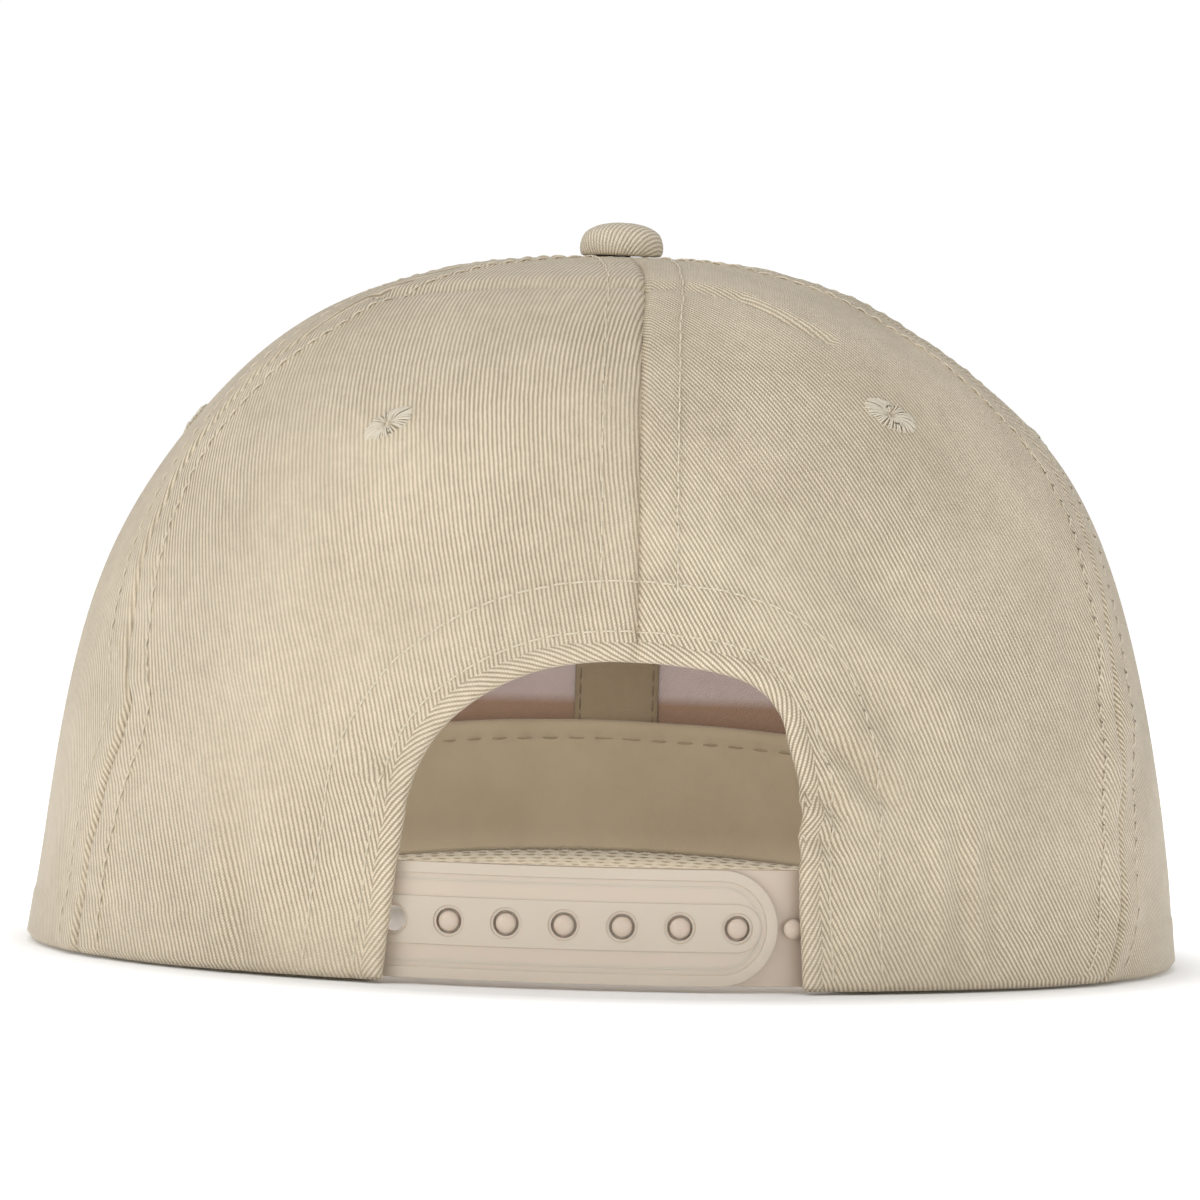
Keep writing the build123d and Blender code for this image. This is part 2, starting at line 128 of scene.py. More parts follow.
def mix(azimuth, side, back, front):
    """Blend a side value with the back or front value around the crown."""
    s, c = np.sin(azimuth), np.cos(azimuth)
    return side * s * s + np.where(c > 0, back, front) * c * c


def visor_underside(x, y):
    """Height of the visor's underside."""
    sag = VISOR_BEND - np.sqrt(VISOR_BEND**2 - np.clip(x, -150, 150) ** 2)
    return VISOR_ROOT_Z - VISOR_DROP * (-y - VISOR_TIP_Y) - sag


def crown(azimuth, share):
    """Points of the crown's smooth outer face: share runs from 0 at the hem to 1 at the apex."""
    azimuth, share = np.broadcast_arrays(np.asarray(azimuth, float), np.asarray(share, float))
    s, c = np.sin(azimuth), np.cos(azimuth)
    reach = np.where(c > 0, BACK_REACH, FRONT_REACH)
    radius = 1 / np.sqrt((s / HALF_WIDTH) ** 2 + (c / reach) ** 2)
    lean = mix(azimuth, LEAN["side"], LEAN["back"], LEAN["front"])
    rise = mix(azimuth, RISE["side"], RISE["back"], RISE["front"])
    full = mix(azimuth, FULL["side"], FULL["back"], FULL["front"])
    y = radius * c
    hem = visor_underside(radius * s, y) * smooth(-y / VISOR_TIP_Y)
    rest = 1 - share
    low, mid, high = 3 * rest**2 * share, 3 * rest * share**2, share**3
    out = rest**3 * radius + low * (radius - lean) + mid * full * radius
    z = rest**3 * hem + low * (hem + rise * CROWN_HEIGHT) + (mid + high) * CROWN_HEIGHT
    lift = (z / CROWN_HEIGHT) ** 2
    return np.stack([out * s + APEX_X * lift, out * c + APEX_Y * lift, z], -1)


def crown_normal(azimuth, share):
    """Outward unit normals of the smooth crown."""
    step = 1e-3
    along = crown(azimuth + step, share) - crown(azimuth - step, share)
    up = crown(azimuth, np.minimum(share + step, 1)) - crown(azimuth, np.maximum(share - step, 0))
    return unit(np.cross(up, along))


def turn_about_apex(points):
    """Azimuth of points about the upright line through the apex."""
    return np.arctan2(points[..., 0] - APEX_X, points[..., 1] - APEX_Y)


def to_wall(bearing, share):
    """Azimuths whose crown points lie at a bearing about the apex line."""
    bearing, share = np.broadcast_arrays(np.asarray(bearing, float), np.asarray(share, float))
    azimuth = bearing.copy()
    for _ in range(24):
        error = turn_about_apex(crown(azimuth, share)) - bearing
        azimuth = azimuth - 0.8 * (np.mod(error + np.pi, 2 * np.pi) - np.pi)
    return azimuth


def wall_line(bearing, share):
    """Points of the wall at one bearing about the apex line."""
    return crown(to_wall(np.full(np.shape(share), bearing), share), share)


def from_apex(points):
    """Level distance from the upright line through the apex."""
    return np.hypot(points[..., 0] - APEX_X, points[..., 1] - APEX_Y)


def off_wall(azimuth, share, height):
    """Points at heights above the crown's smooth face, or below it where the height is negative."""
    return crown(azimuth, share) + crown_normal(azimuth, share) * height[..., None]


def path_lengths(path):
    """Distance along a path at each of its points."""
    return np.concatenate([[0], np.cumsum(np.linalg.norm(np.diff(path, axis=0), axis=1))])


def along_path(places, lengths, values):
    """Values at places along a path whose points lie at the given lengths."""
    return np.stack([np.interp(places, lengths, values[:, k]) for k in range(values.shape[1])], -1)


ARC_SHARES = np.linspace(0, 0.997, 400)
ARC_LENGTHS = path_lengths(crown(np.full(400, 0.6), ARC_SHARES))


def share_of_arc(length):
    """Share at a distance up the wall from the hem."""
    return np.interp(length, ARC_LENGTHS, ARC_SHARES)


def arc_of_share(share):
    """Distance up the wall from the hem."""
    return np.interp(share, ARC_SHARES, ARC_LENGTHS)


def share_of_height(azimuth, height):
    """Share where the wall reaches a height above the hem."""
    azimuth, height = np.broadcast_arrays(np.asarray(azimuth, float), np.asarray(height, float))
    low, high = np.zeros(azimuth.shape), np.ones(azimuth.shape)
    goal = crown(azimuth, low)[..., 2] + height
    for _ in range(30):
        middle = (low + high) / 2
        under = crown(azimuth, middle)[..., 2] < goal
        low, high = np.where(under, middle, low), np.where(under, high, middle)
    return low


def back_wall(x, z):
    """Azimuth and share of the back wall's point seen at x, z."""
    x, z = np.broadcast_arrays(np.asarray(x, float), np.asarray(z, float))
    azimuth = np.arctan2(x, 80.0)
    share = share_of_height(azimuth, z)
    step = 1e-4
    for _ in range(8):
        here = crown(azimuth, share)
        by_turn = (crown(azimuth + step, share) - here) / step
        by_share = (crown(azimuth, share + step) - here) / step
        dx, dz = x - here[..., 0], z - here[..., 2]
        det = by_turn[..., 0] * by_share[..., 2] - by_share[..., 0] * by_turn[..., 2]
        azimuth = azimuth + (dx * by_share[..., 2] - dz * by_share[..., 0]) / det
        share = share + (dz * by_turn[..., 0] - dx * by_turn[..., 2]) / det
        share = np.clip(share, 0, 0.99)
    return azimuth, share


def smooth_curve(points, count):
    """Evenly spaced points on a centripetal Catmull-Rom curve through a few points."""
    points = np.asarray(points, float)
    points = np.vstack([2 * points[0] - points[1], points, 2 * points[-1] - points[-2]])
    out = []
    for i in range(1, len(points) - 2):
        p0, p1, p2, p3 = points[i - 1 : i + 3]
        t = np.linspace(0, 1, 60, endpoint=False)[:, None]
        d1, d2 = (p2 - p0) / 2, (p3 - p1) / 2
        out.append(
            (2 * t**3 - 3 * t**2 + 1) * p1
            + (t**3 - 2 * t**2 + t) * d1
            + (3 * t**2 - 2 * t**3) * p2
            + (t**3 - t**2) * d2
        )
    return resample(np.vstack(out + [points[-2:-1]]), count)


def resample(path, count):
    """The same path with evenly spaced points."""
    lengths = path_lengths(path)
    return along_path(np.linspace(0, lengths[-1], count), lengths, path)


# Edge of the arched back opening, seen from behind: x towards the wearer's left, z up
ARCH_EDGE = smooth_curve(
    [
        (36.0, 0.0),
        (34.9, 12.0),
        (33.6, 23.0),
        (31.8, 33.5),
        (27.6, 42.0),
        (20.5, 48.5),
        (12.0, 52.8),
        (2.5, 54.8),
        (-8.0, 54.9),
        (-18.0, 53.8),
        (-25.5, 51.4),
        (-30.2, 46.8),
        (-32.2, 40.5),
        (-34.3, 33.0),
        (-34.4, 24.0),
        (-34.8, 12.0),
        (-35.6, 0.0),
    ],
    400,
) + [ARCH_SHIFT, 0]
ARCH_LENGTHS = path_lengths(ARCH_EDGE)


def from_segment(x, z, start, run):
    """Distance from a straight piece of line, and the share along it of the nearest place."""
    (x0, z0), (dx, dz) = start, run
    place = np.clip(((x - x0) * dx + (z - z0) * dz) / (dx**2 + dz**2), 0, 1)
    return np.hypot(x - x0 - place * dx, z - z0 - place * dz), place


def arch_distance(x, z):
    """Distance from the opening's edge, negative inside it, and the place along the edge."""
    shape = np.shape(x)
    x, z = np.ravel(x), np.ravel(z)
    best = np.full(x.shape, 1e9)
    along = np.zeros(x.shape)
    for start, run, passed in zip(ARCH_EDGE, np.diff(ARCH_EDGE, axis=0), ARCH_LENGTHS):
        gap, place = from_segment(x, z, start, run)
        nearer = gap < best
        best = np.where(nearer, gap, best)
        along = np.where(nearer, passed + place * math.sqrt(run[0] ** 2 + run[1] ** 2), along)
    loop = np.vstack([ARCH_EDGE, [(ARCH_SHIFT - 35.6, -40.0), (ARCH_SHIFT + 36.0, -40.0)]])
    inside = np.zeros(x.shape, bool)
    for (x0, z0), (x1, z1) in zip(loop, np.roll(loop, -1, axis=0)):
        crosses = (z0 > z) != (z1 > z)
        inside ^= crosses & (x < (x1 - x0) * (z - z0) / ((z1 - z0) or 1e-9) + x0)
    return np.where(inside, -best, best).reshape(shape), along.reshape(shape)


# ---------------------------------------------------------------- relief of the sewn cloth

# Folds of the back panels seen at x, z: both ends, half width and height; below 0 is a crease
FOLDS = (
    (-34.0, 43.0, -45.0, 32.5, 1.5, -1.4),
    (-36.0, 47.0, -49.0, 36.0, 3.0, 1.0),
    (-33.0, 38.5, -42.0, 29.5, 1.8, 1.0),
    (-31.5, 34.0, -37.5, 29.5, 1.1, -0.9),
    (-31.5, 31.0, -37.5, 26.0, 1.0, 0.9),
    (-31.5, 27.0, -37.0, 23.5, 1.0, -0.8),
    (-31.5, 24.0, -36.0, 20.0, 1.0, 0.7),
    (38.5, 34.0, 44.0, 40.0, 1.2, -0.8),
    (38.0, 30.5, 44.5, 35.0, 1.0, 0.6),
    (40.0, 44.0, 53.0, 57.0, 6.0, -0.7),
    (69.0, 33.0, 66.0, 2.0, 2.6, 0.8),
    (64.8, 33.0, 62.4, 2.0, 2.2, -0.7),
    (60.5, 33.5, 59.0, 2.0, 2.4, 0.5),
    (51.5, 34.0, 49.0, 3.0, 3.4, -0.5),
    (-54.5, 28.0, -55.6, 5.0, 2.0, 0.7),
    (-58.2, 28.0, -59.4, 5.0, 1.8, -0.6),
    (-61.4, 27.0, -62.8, 5.0, 1.2, 0.5),
    (-64.3, 27.0, -65.6, 5.0, 1.4, -0.5),
    (-78.0, 62.0, -84.0, 30.0, 3.0, -0.5),
    (-86.0, 40.0, -88.0, 8.0, 2.4, 0.7),
    (83.0, 50.0, 87.0, 36.0, 2.6, 0.3),
    (82.0, 44.0, 85.5, 28.0, 2.4, -0.3),
    (10.0, 70.0, 44.0, 62.0, 7.0, -0.5),
    (-14.0, 78.0, -50.0, 60.0, 8.0, -0.5),
    (-30.0, 66.0, -58.0, 46.0, 5.0, 0.9),
    (-34.0, 74.0, -62.0, 56.0, 5.0, -0.7),
    (50.0, 84.0, 62.0, 44.0, 9.0, 0.5),
    (44.0, 30.0, 62.0, 50.0, 4.0, 0.6),
    (48.0, 24.0, 70.0, 46.0, 4.0, -0.5),
)
# The soft crease round the crown's top, seen at x, z
TOP_CREASE = (
    (42.8, 114.6),
    (34.3, 116.3),
    (22.4, 117.4),
    (5.4, 118.0),
    (-11.9, 117.9),
    (-19.7, 116.4),
    (-35.3, 109.1),
)


def fold(x, z, fold_line):
    """Relief of one fold: rounded across, fading towards both ends."""
    x0, z0, x1, z1, width, height = fold_line
    run = np.array([x1 - x0, z1 - z0])
    size = math.hypot(*run)
    along = ((x - x0) * run[0] + (z - z0) * run[1]) / size**2
    across = ((x - x0) * run[1] - (z - z0) * run[0]) / size
    fade = smooth((along + 0.25) / 0.45) * smooth((1.25 - along) / 0.45)
    bend = 0.12 * width * np.sin(along * 5 + x0)
    return height * bell(across + bend, width) * fade


def seam_bearing(seam, height):
    """Bearing of a seam at a height, in radians."""
    if seam in SEAM_BENDS:
        heights, degrees = SEAM_BENDS[seam]
        return np.radians(seam + np.interp(height, heights, degrees))
    return np.full(np.shape(height), math.radians(seam))


def seam_course(seam, share):
    """Bearing of a seam along the wall, the same for both panels that meet there."""
    return seam_bearing(seam, wall_line(math.radians(seam), share)[..., 2])


def beside_seam(points, seam):
    """Distance across a seam, and distance out from the apex line along it."""
    turn = seam_bearing(seam, points[..., 2])
    x, y = points[..., 0] - APEX_X, points[..., 1] - APEX_Y
    return x * np.cos(turn) - y * np.sin(turn), x * np.sin(turn) + y * np.cos(turn)


def seam_relief(points, share):
    """Valley, raised seam allowance and stitch furrows beside each of the six seams."""
    run = arc_of_share(share)
    calm = smooth((from_apex(points) - 9) / 16)
    relief = np.zeros(calm.shape)
    for index, seam in enumerate(SEAMS):
        across, ahead = beside_seam(points, seam)
        side = np.where(ahead > 0, 1.0, 0.0)
        gap = np.abs(across)
        ripple = 0.10 * np.sin(run / 2.9 + index) + 0.07 * np.sin(run / 1.17 + 2 * index)
        raised = 0.34 * smooth(gap / 1.4) * smooth((7.6 - gap) / 2.0)
        valley = -0.55 * bell(gap, 0.8)
        furrow = -(0.16 + 0.10 * np.cos(run * 2 * np.pi / STITCH_PITCH)) * bell(gap - SEAM_ROW, 0.7)
        pucker = ripple * bell(gap - 4.0, 4.0)
        relief = relief + side * calm * (raised + valley + furrow + pucker)
    return relief


def seam_crumple(points, share):
    """Crumpled cloth along the low part of the two side seams at the back."""
    run = arc_of_share(share)
    relief = np.zeros(run.shape)
    for seam, strength in ((72.0, 0.45), (-72.0, 0.9)):
        across, ahead = beside_seam(points, seam)
        near = bell(across, 11.0) * smooth(ahead / 30) * smooth((92 - run) / 40)
        waves = np.sin(run / 5.3 + 0.21 * across) + 0.7 * np.sin(run / 2.9 - 0.33 * across + 1.3)
        relief = relief + strength * 0.42 * near * waves
    return relief


def arch_relief(gap, along):
    """Rolled edge, doubled hem and two furrows round the back opening."""
    hem = 0.45 * smooth((14.2 - gap) / 1.6)
    step = 0.08 * np.cos(along * 2 * np.pi / STITCH_PITCH)
    near, far = (bell(gap - row, 0.8) for row in ARCH_ROWS)
    furrows = -(0.26 + step) * (1.3 * near + 0.9 * far)
    ripple = (0.12 * np.sin(along / 2.3) + 0.08 * np.sin(along / 0.9)) * bell(gap - 8.6, 4.0)
    return hem + furrows + ripple


def broad_relief(azimuth, share):
    """Gentle waves and pressed-in shoulders, which the cloth and its lining share."""
    points = crown(azimuth, share)
    x, y, z = points[..., 0], points[..., 1], points[..., 2]
    run = arc_of_share(share)
    wide = 0.5 * np.sin(3 * azimuth + z / 23) + 0.35 * np.sin(7 * azimuth - z / 15 + 1.0)
    relief = 0.45 * wide * smooth(run / 20) * smooth((150 - run) / 40)
    for dent_x, dent_y, dent_z, width, depth in DENTS:
        away = np.sqrt((x - dent_x) ** 2 + (y - dent_y) ** 2 + (z - dent_z) ** 2)
        relief = relief - depth * bell(away, width)
    return relief


def cloth_relief(azimuth, share):
    """Height of the sewn, slightly creased cloth above the smooth crown."""
    points = crown(azimuth, share)
    x, y, z = points[..., 0], points[..., 1], points[..., 2]
    run = arc_of_share(share)
    relief = broad_relief(azimuth, share) + seam_relief(points, share) + seam_crumple(points, share)
    hem = smooth((10.5 - run) / 1.4) * 0.22 - 0.9 * smooth((1.4 - run) / 1.4) ** 2
    relief = relief + hem
    behind = smooth((y + 10) / 20)
    gap, along = arch_distance(x, z)
    relief = relief + np.where(y > 20, arch_relief(np.maximum(gap, 0), along), 0)
    for line in FOLDS:
        relief = relief + behind * fold(x, z, line)
    crease = np.full(x.shape, 1e9)
    for start, run in zip(TOP_CREASE, np.diff(TOP_CREASE, axis=0)):
        crease = np.minimum(crease, from_segment(x, z, start, run)[0])
    ends = smooth((46 - np.abs(x - 4)) / 10)
    relief = relief - 1.3 * behind * ends * bell(crease, 0.6) * smooth((y - 8) / 8)
    return relief


def skin(azimuth, share, lift=0.0):
    """Points of the cloth's outer face, or lifted off it along the normal."""
    return off_wall(azimuth, share, cloth_relief(azimuth, share) + lift)


# ---------------------------------------------------------------- meshes


def grid_quads(rows, columns, close_rows=False, close_columns=False):
    """Quads of a grid of points laid out row by row."""
    r = np.arange(rows if close_rows else rows - 1)
    c = np.arange(columns if close_columns else columns - 1)
    r, c = np.meshgrid(r, c, indexing="ij")
    r, c = r.ravel(), c.ravel()
    r1, c1 = (r + 1) % rows, (c + 1) % columns
    return np.stack([r * columns + c, r * columns + c1, r1 * columns + c1, r1 * columns + c], -1)


def shell(outer, inner, quads):
    """Closed sheet between two faces that share their quads, with a rim round every free edge."""
    used = np.unique(quads)
    place = -np.ones(len(outer), int)
    place[used] = np.arange(len(used))
    quads = place[quads]
    count = len(used)
    edges = np.concatenate([quads[:, [k, (k + 1) % 4]] for k in range(4)])
    key = np.sort(edges, axis=1)
    _, first, times = np.unique(key, axis=0, return_index=True, return_counts=True)
    free = edges[first[times == 1]]
    rim = np.stack([free[:, 1], free[:, 0], free[:, 0] + count, free[:, 1] + count], -1)
    faces = np.concatenate([quads, quads[:, ::-1] + count, rim])
    return np.concatenate([outer[used], inner[used]]), faces, used


def new_object(name, data):
    """An object in the scene that shows some data."""
    obj = bpy.data.objects.new(name, data)
    bpy.context.collection.objects.link(obj)
    return obj


def piece(name, points, faces, material, slot, body="cap", replaces=(), cloth=None, sharp=None):
    """Make one visible piece from points in millimetres, and say what it rides on."""
    mesh = bpy.data.meshes.new(name)
    mesh.from_pydata((np.asarray(points) * MM).tolist(), [], [list(face) for face in faces])
    mesh.polygons.foreach_set("use_smooth", np.ones(len(mesh.polygons), bool))
    if cloth is not None:
        layer = mesh.attributes.new("cloth", "FLOAT_VECTOR", "POINT")
        layer.data.foreach_set("vector", np.asarray(cloth, "f").ravel())
    if sharp is not None:
        mesh.set_sharp_from_angle(angle=math.radians(sharp))
    mesh.materials.append(material)
    mesh.validate()
    mesh.update()
    obj = new_object(name, mesh)
    if body:
        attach(obj, body)
    if replaces:
        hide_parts(*replaces)
    return obj


def cloth_piece(
    name,
    outer,
    inner,
    quads,
    flat,
    material,
    slot="twill",
    replaces=(),
    flip=False,
):
    """A closed sheet of cloth between two faces, with each point's place on its flat cut stored on the
    mesh.
    """
    points, faces, used = shell(outer, inner, quads)
    if flip:
        faces = faces[:, ::-1]
    flat = np.concatenate([flat[used], flat[used]])
    obj = piece(f"{name}_cloth", points, faces, material, slot, replaces=replaces, cloth=flat)
    flat = flat[:, :2] * MM


def closed_bar(rings, flip=False):
    """Points and faces of a bar made of lines that run along it, with both ends closed."""
    rows, count = len(rings), len(rings[0])
    quads = grid_quads(rows, count, close_rows=True)
    ends = [[k * count for k in range(rows)], [(k + 1) * count - 1 for k in range(rows)][::-1]]
    return np.concatenate(rings), (quads[:, ::-1] if flip else quads).tolist() + ends


def tube_along(paths, radii, sides=6):
    """Closed round tubes along several paths of equal length: points and faces."""
    paths = np.asarray(paths, float)
    count, steps, _ = paths.shape
    along = unit(np.gradient(paths, axis=1))
    helper = np.where(np.abs(along[..., 2:]) > 0.9, [1.0, 0, 0], [0, 0, 1.0])
    right = unit(np.cross(along, helper))
    up = np.cross(right, along)
    turn = full_turn(sides)
    ring = np.cos(turn)[:, None] * right[:, :, None] + np.sin(turn)[:, None] * up[:, :, None]
    points = paths[:, :, None] + ring * np.broadcast_to(radii, (count, steps))[..., None, None]
    quads = grid_quads(steps, sides, close_columns=True)
    ends = np.array([np.arange(sides)[::-1], (steps - 1) * sides + np.arange(sides)])
    faces = []
    for index in range(count):
        base = index * steps * sides
        faces += (quads + base).tolist() + (ends + base).tolist()
    return points.reshape(-1, 3), faces


def stitches(path, normals, length=STITCH, pitch=STITCH_PITCH, radius=THREAD_RADIUS, wander=0.0):
    """A row of short threads lying on a path, each dipping into the cloth at its ends."""
    lengths = path_lengths(path)
    count = max(1, int(lengths[-1] / pitch))
    starts = (np.arange(count) + 0.5) * lengths[-1] / count
    steps = np.linspace(-0.5, 0.5, 7)
    places = starts[:, None] + steps * length
    spot, out = along_path(places, lengths, path), along_path(places, lengths, normals)
    shape = np.cos(steps * np.pi)
    spot = spot + out * ((shape - 0.55) * radius * 1.5)[:, None]
    if wander:
        side = unit(np.cross(out, np.gradient(spot, axis=1)))
        spot = spot + side * (RANDOM.normal(0, wander, (count, 1, 1)))
    thick = radius * np.sqrt(np.clip(1 - (2 * steps) ** 6 * 0.8, 0.1, 1))
    return tube_along(spot, thick[None])


def join_parts(parts):
    """Put several lists of points and faces into one."""
    points, faces, base = [], [], 0
    for part_points, part_faces in parts:
        points.append(np.asarray(part_points))
        faces += [[int(v) + base for v in face] for face in part_faces]
        base += len(part_points)
    return np.concatenate(points), faces


def wall_row(azimuth, share, lift=0.1):
    """Path on the cloth's outer face with its normals."""
    return skin(azimuth, share, np.full(np.shape(azimuth), lift)), crown_normal(azimuth, share)


# ---------------------------------------------------------------- materials


class Nodes:
    """A new material with short calls for adding and linking nodes."""

    def __init__(self, name):
        self.material = bpy.data.materials.new(name)
        self.material.use_nodes = True
        self.tree = self.material.node_tree
        self.shader = self.tree.nodes["Principled BSDF"]

    def node(self, kind, **settings):
        """Add a node; settings name its properties."""
        node = self.tree.nodes.new(kind)
        for key, value in settings.items():
            setattr(node, key, value)
        return node

    def put(self, socket, value):
        """Link a socket, or set its number or colour."""
        if hasattr(value, "is_output"):
            self.tree.links.new(value, socket)
        else:
            socket.default_value = value

    def math(self, operation, first, second=0.0, third=0.0):
        """One math step."""
        node = self.node("ShaderNodeMath", operation=operation)
        for socket, value in zip(node.inputs, (first, second, third)):
            self.put(socket, value)
        return node.outputs[0]

    def mix(self, share, first, second):
        """Blend two colours."""
        node = self.node("ShaderNodeMix", data_type="RGBA")
        for socket, value in zip((node.inputs[0], node.inputs[6], node.inputs[7]), (share, first, second)):
            self.put(socket, value)
        return node.outputs[2]

    def noise(self, vector, scale, detail=3.0, roughness=0.55):
        """Noise between about 0.3 and 0.7."""
        node = self.node("ShaderNodeTexNoise")
        self.put(node.inputs["Vector"], vector)
        node.inputs["Scale"].default_value = scale
        node.inputs["Detail"].default_value = detail
        node.inputs["Roughness"].default_value = roughness
        return node.outputs["Fac"]

    def bump(self, height, distance, strength=1.0):
        """Bump from a height between 0 and 1."""
        node = self.node("ShaderNodeBump")
        node.inputs["Strength"].default_value = strength
        node.inputs["Distance"].default_value = distance
        self.put(node.inputs["Height"], height)
        return node.outputs[0]

    def scaled(self, vector, factor):
        """A vector times a number."""
        node = self.node("ShaderNodeVectorMath", operation="SCALE")
        self.put(node.inputs[0], vector)
        node.inputs["Scale"].default_value = factor
        return node.outputs[0]

    def clamp(self, value):
        """A value held between 0 and 1."""
        node = self.node("ShaderNodeClamp")
        self.put(node.inputs[0], value)
        return node.outputs[0]

    def split(self, vector):
        """The three parts of a vector."""
        node = self.node("ShaderNodeSeparateXYZ")
        self.put(node.inputs[0], vector)
        return node.outputs

    def here(self):
        """The object's own coordinates."""
        return self.node("ShaderNodeTexCoord").outputs["Object"]

    def set(self, **values):
        """Set the shader's own sockets."""
        for key, value in values.items():
            self.put(self.shader.inputs[key.replace("_", " ")], value)


def cloth_place(nodes):
    """Place on the flat cloth in millimetres, and the object's own coordinates."""
    attribute = nodes.node("ShaderNodeAttribute", attribute_name="cloth")
    return attribute.outputs["Vector"], nodes.here()


# Spacing of the twill's cords in millimetres, and the height of its bump in metres
CORD_PITCH, CORD_DEPTH = 0.78, 0.00022


def twill(name, light, dark, turn=28.0):
    """Twill: raised slanted cords made of short floats, soft mottling and a satin sheen."""
    n = Nodes(name)
    flat, here = cloth_place(n)
    wobble = n.noise(flat, 0.22, 2.0)
    fine = n.noise(flat, 1.9, 2.0)
    u, v = n.split(flat)[:2]
    c, s = math.cos(math.radians(turn)), math.sin(math.radians(turn))
    across = n.math("SUBTRACT", n.math("MULTIPLY", u, c), n.math("MULTIPLY", v, s))
    along = n.math("ADD", n.math("MULTIPLY", u, s), n.math("MULTIPLY", v, c))
    across = n.math("ADD", across, n.math("MULTIPLY", wobble, 0.3))
    across = n.math("ADD", across, n.math("MULTIPLY", fine, 0.16))
    phase = n.math("MULTIPLY", across, 2 * math.pi / CORD_PITCH)
    cord = n.math("MULTIPLY_ADD", n.math("COSINE", phase), 0.5, 0.5)
    cord = n.math("POWER", cord, 0.7)
    lean = n.math("MULTIPLY_ADD", across, 0.55, along)
    floats = n.math("MULTIPLY", lean, 2 * math.pi / (CORD_PITCH * 0.62))
    float_wave = n.math("MULTIPLY_ADD", n.math("COSINE", floats), 0.5, 0.5)
    body = n.math("MULTIPLY", cord, n.math("MULTIPLY_ADD", float_wave, 0.35, 0.65))
    fuzz = n.noise(flat, 6.0, 2.0)
    height = n.math("ADD", body, n.math("MULTIPLY", fuzz, 0.35))
    blotch = n.noise(here, 38.0, 3.0)
    streak = n.noise(n.scaled(flat, 0.35), 1.0, 4.0)
    clarity = n.math("MULTIPLY_ADD", n.noise(here, 24.0, 1.0), 2.6, -0.1)
    cords = n.math("MULTIPLY_ADD", n.math("SUBTRACT", body, 0.5), clarity, 0.5)
    tone = n.math("MULTIPLY_ADD", cords, 0.72, n.math("MULTIPLY", fine, 0.26))
    tone = n.math("ADD", tone, n.math("MULTIPLY_ADD", blotch, 0.5, -0.25))
    tone = n.math("ADD", tone, n.math("MULTIPLY_ADD", streak, 0.3, -0.15))
    n.set(Base_Color=n.mix(n.clamp(tone), dark, light), Roughness=0.4)
    n.set(Sheen_Weight=0.2, Sheen_Roughness=0.4, Sheen_Tint=(1.0, 0.96, 0.88, 1.0))
    n.set(Specular_IOR_Level=0.55, Normal=n.bump(height, CORD_DEPTH))
    return n.material


def thread(name, colour):
    """Spun thread: fine twisted plies and a soft gloss."""
    n = Nodes(name)
    here = n.here()
    ply = n.noise(here, 2600.0, 2.0)
    blotch = n.noise(here, 160.0, 2.0)
    dark = tuple(c * 0.72 for c in colour[:3]) + (1.0,)
    n.set(Base_Color=n.mix(n.math("MULTIPLY_ADD", blotch, 0.6, n.math("MULTIPLY", ply, 0.5)), dark, colour))
    n.set(Roughness=0.45, Specular_IOR_Level=0.4, Normal=n.bump(ply, 0.00006))
    return n.material


def plain_weave(name, light, dark, pitch, depth, painted_foot_light=None):
    """Plain weave or mesh: threads over and under each other.

    Painted light at the foot, given as a height, a fade and a colour, tints the cloth below that height: a
    lighter colour paints a highlight, a darker one paints shade.
    """
    n = Nodes(name)
    flat, here = cloth_place(n)
    u, v = n.split(flat)[:2]
    wobble = n.noise(flat, 0.5, 2.0)
    u = n.math("ADD", u, n.math("MULTIPLY", wobble, 0.5))
    v = n.math("ADD", v, n.math("MULTIPLY", wobble, 0.4))
    warp = n.math("SINE", n.math("MULTIPLY", u, 2 * math.pi / pitch))
    weft = n.math("SINE", n.math("MULTIPLY", v, 2 * math.pi / pitch))
    weave = n.math("MULTIPLY_ADD", n.math("MULTIPLY", warp, weft), 0.5, 0.5)
    blotch = n.noise(here, 60.0, 4.0)
    fuzz = n.noise(flat, 4.0, 2.0)
    tone = n.math("ADD", n.math("MULTIPLY", weave, 0.5), n.math("MULTIPLY_ADD", blotch, 0.9, -0.2))
    height = n.math("ADD", weave, n.math("MULTIPLY", fuzz, 0.5))
    colour = n.mix(n.clamp(tone), dark, light)
    # Painted light: below the given height the colour turns towards the painted tint, with noise in its
    # edge.
    if painted_foot_light:
        start, fade, tint = painted_foot_light
        above = n.math("MULTIPLY_ADD", n.split(here)[2], 1 / (fade * MM), -start / fade)
        above = n.math("ADD", above, n.math("MULTIPLY", fuzz, 0.4))
        colour = n.mix(n.clamp(above), tint, colour)
    n.set(Base_Color=colour, Roughness=0.8)
    n.set(Sheen_Weight=0.2, Sheen_Roughness=0.5, Normal=n.bump(height, depth))
    return n.material


def moulded(name, light, dark, rough):
    """Moulded plastic: faint flow marks, a fine satin grain and slightly uneven gloss."""
    n = Nodes(name)
    here = n.here()
    flow = n.noise(here, 45.0, 3.0)
    grain = n.noise(here, 1500.0, 2.0)
    gloss = n.math("MULTIPLY_ADD", n.noise(here, 120.0, 2.0), 0.16, rough - 0.08)
    n.set(Base_Color=n.mix(flow, dark, light), Roughness=gloss, Normal=n.bump(grain, 0.00002, 0.6))
    n.set(Subsurface_Weight=0.15, Subsurface_Scale=0.002)
    return n.material


def metal(name, colour, rough):
    """Plain pressed metal with faint scratches."""
    n = Nodes(name)
    here = n.here()
    scratch = n.noise(here, 900.0, 3.0)
    n.set(Base_Color=colour, Metallic=1.0, Normal=n.bump(scratch, 0.00002))
    n.set(Roughness=n.math("MULTIPLY_ADD", scratch, 0.25, rough))
    return n.material


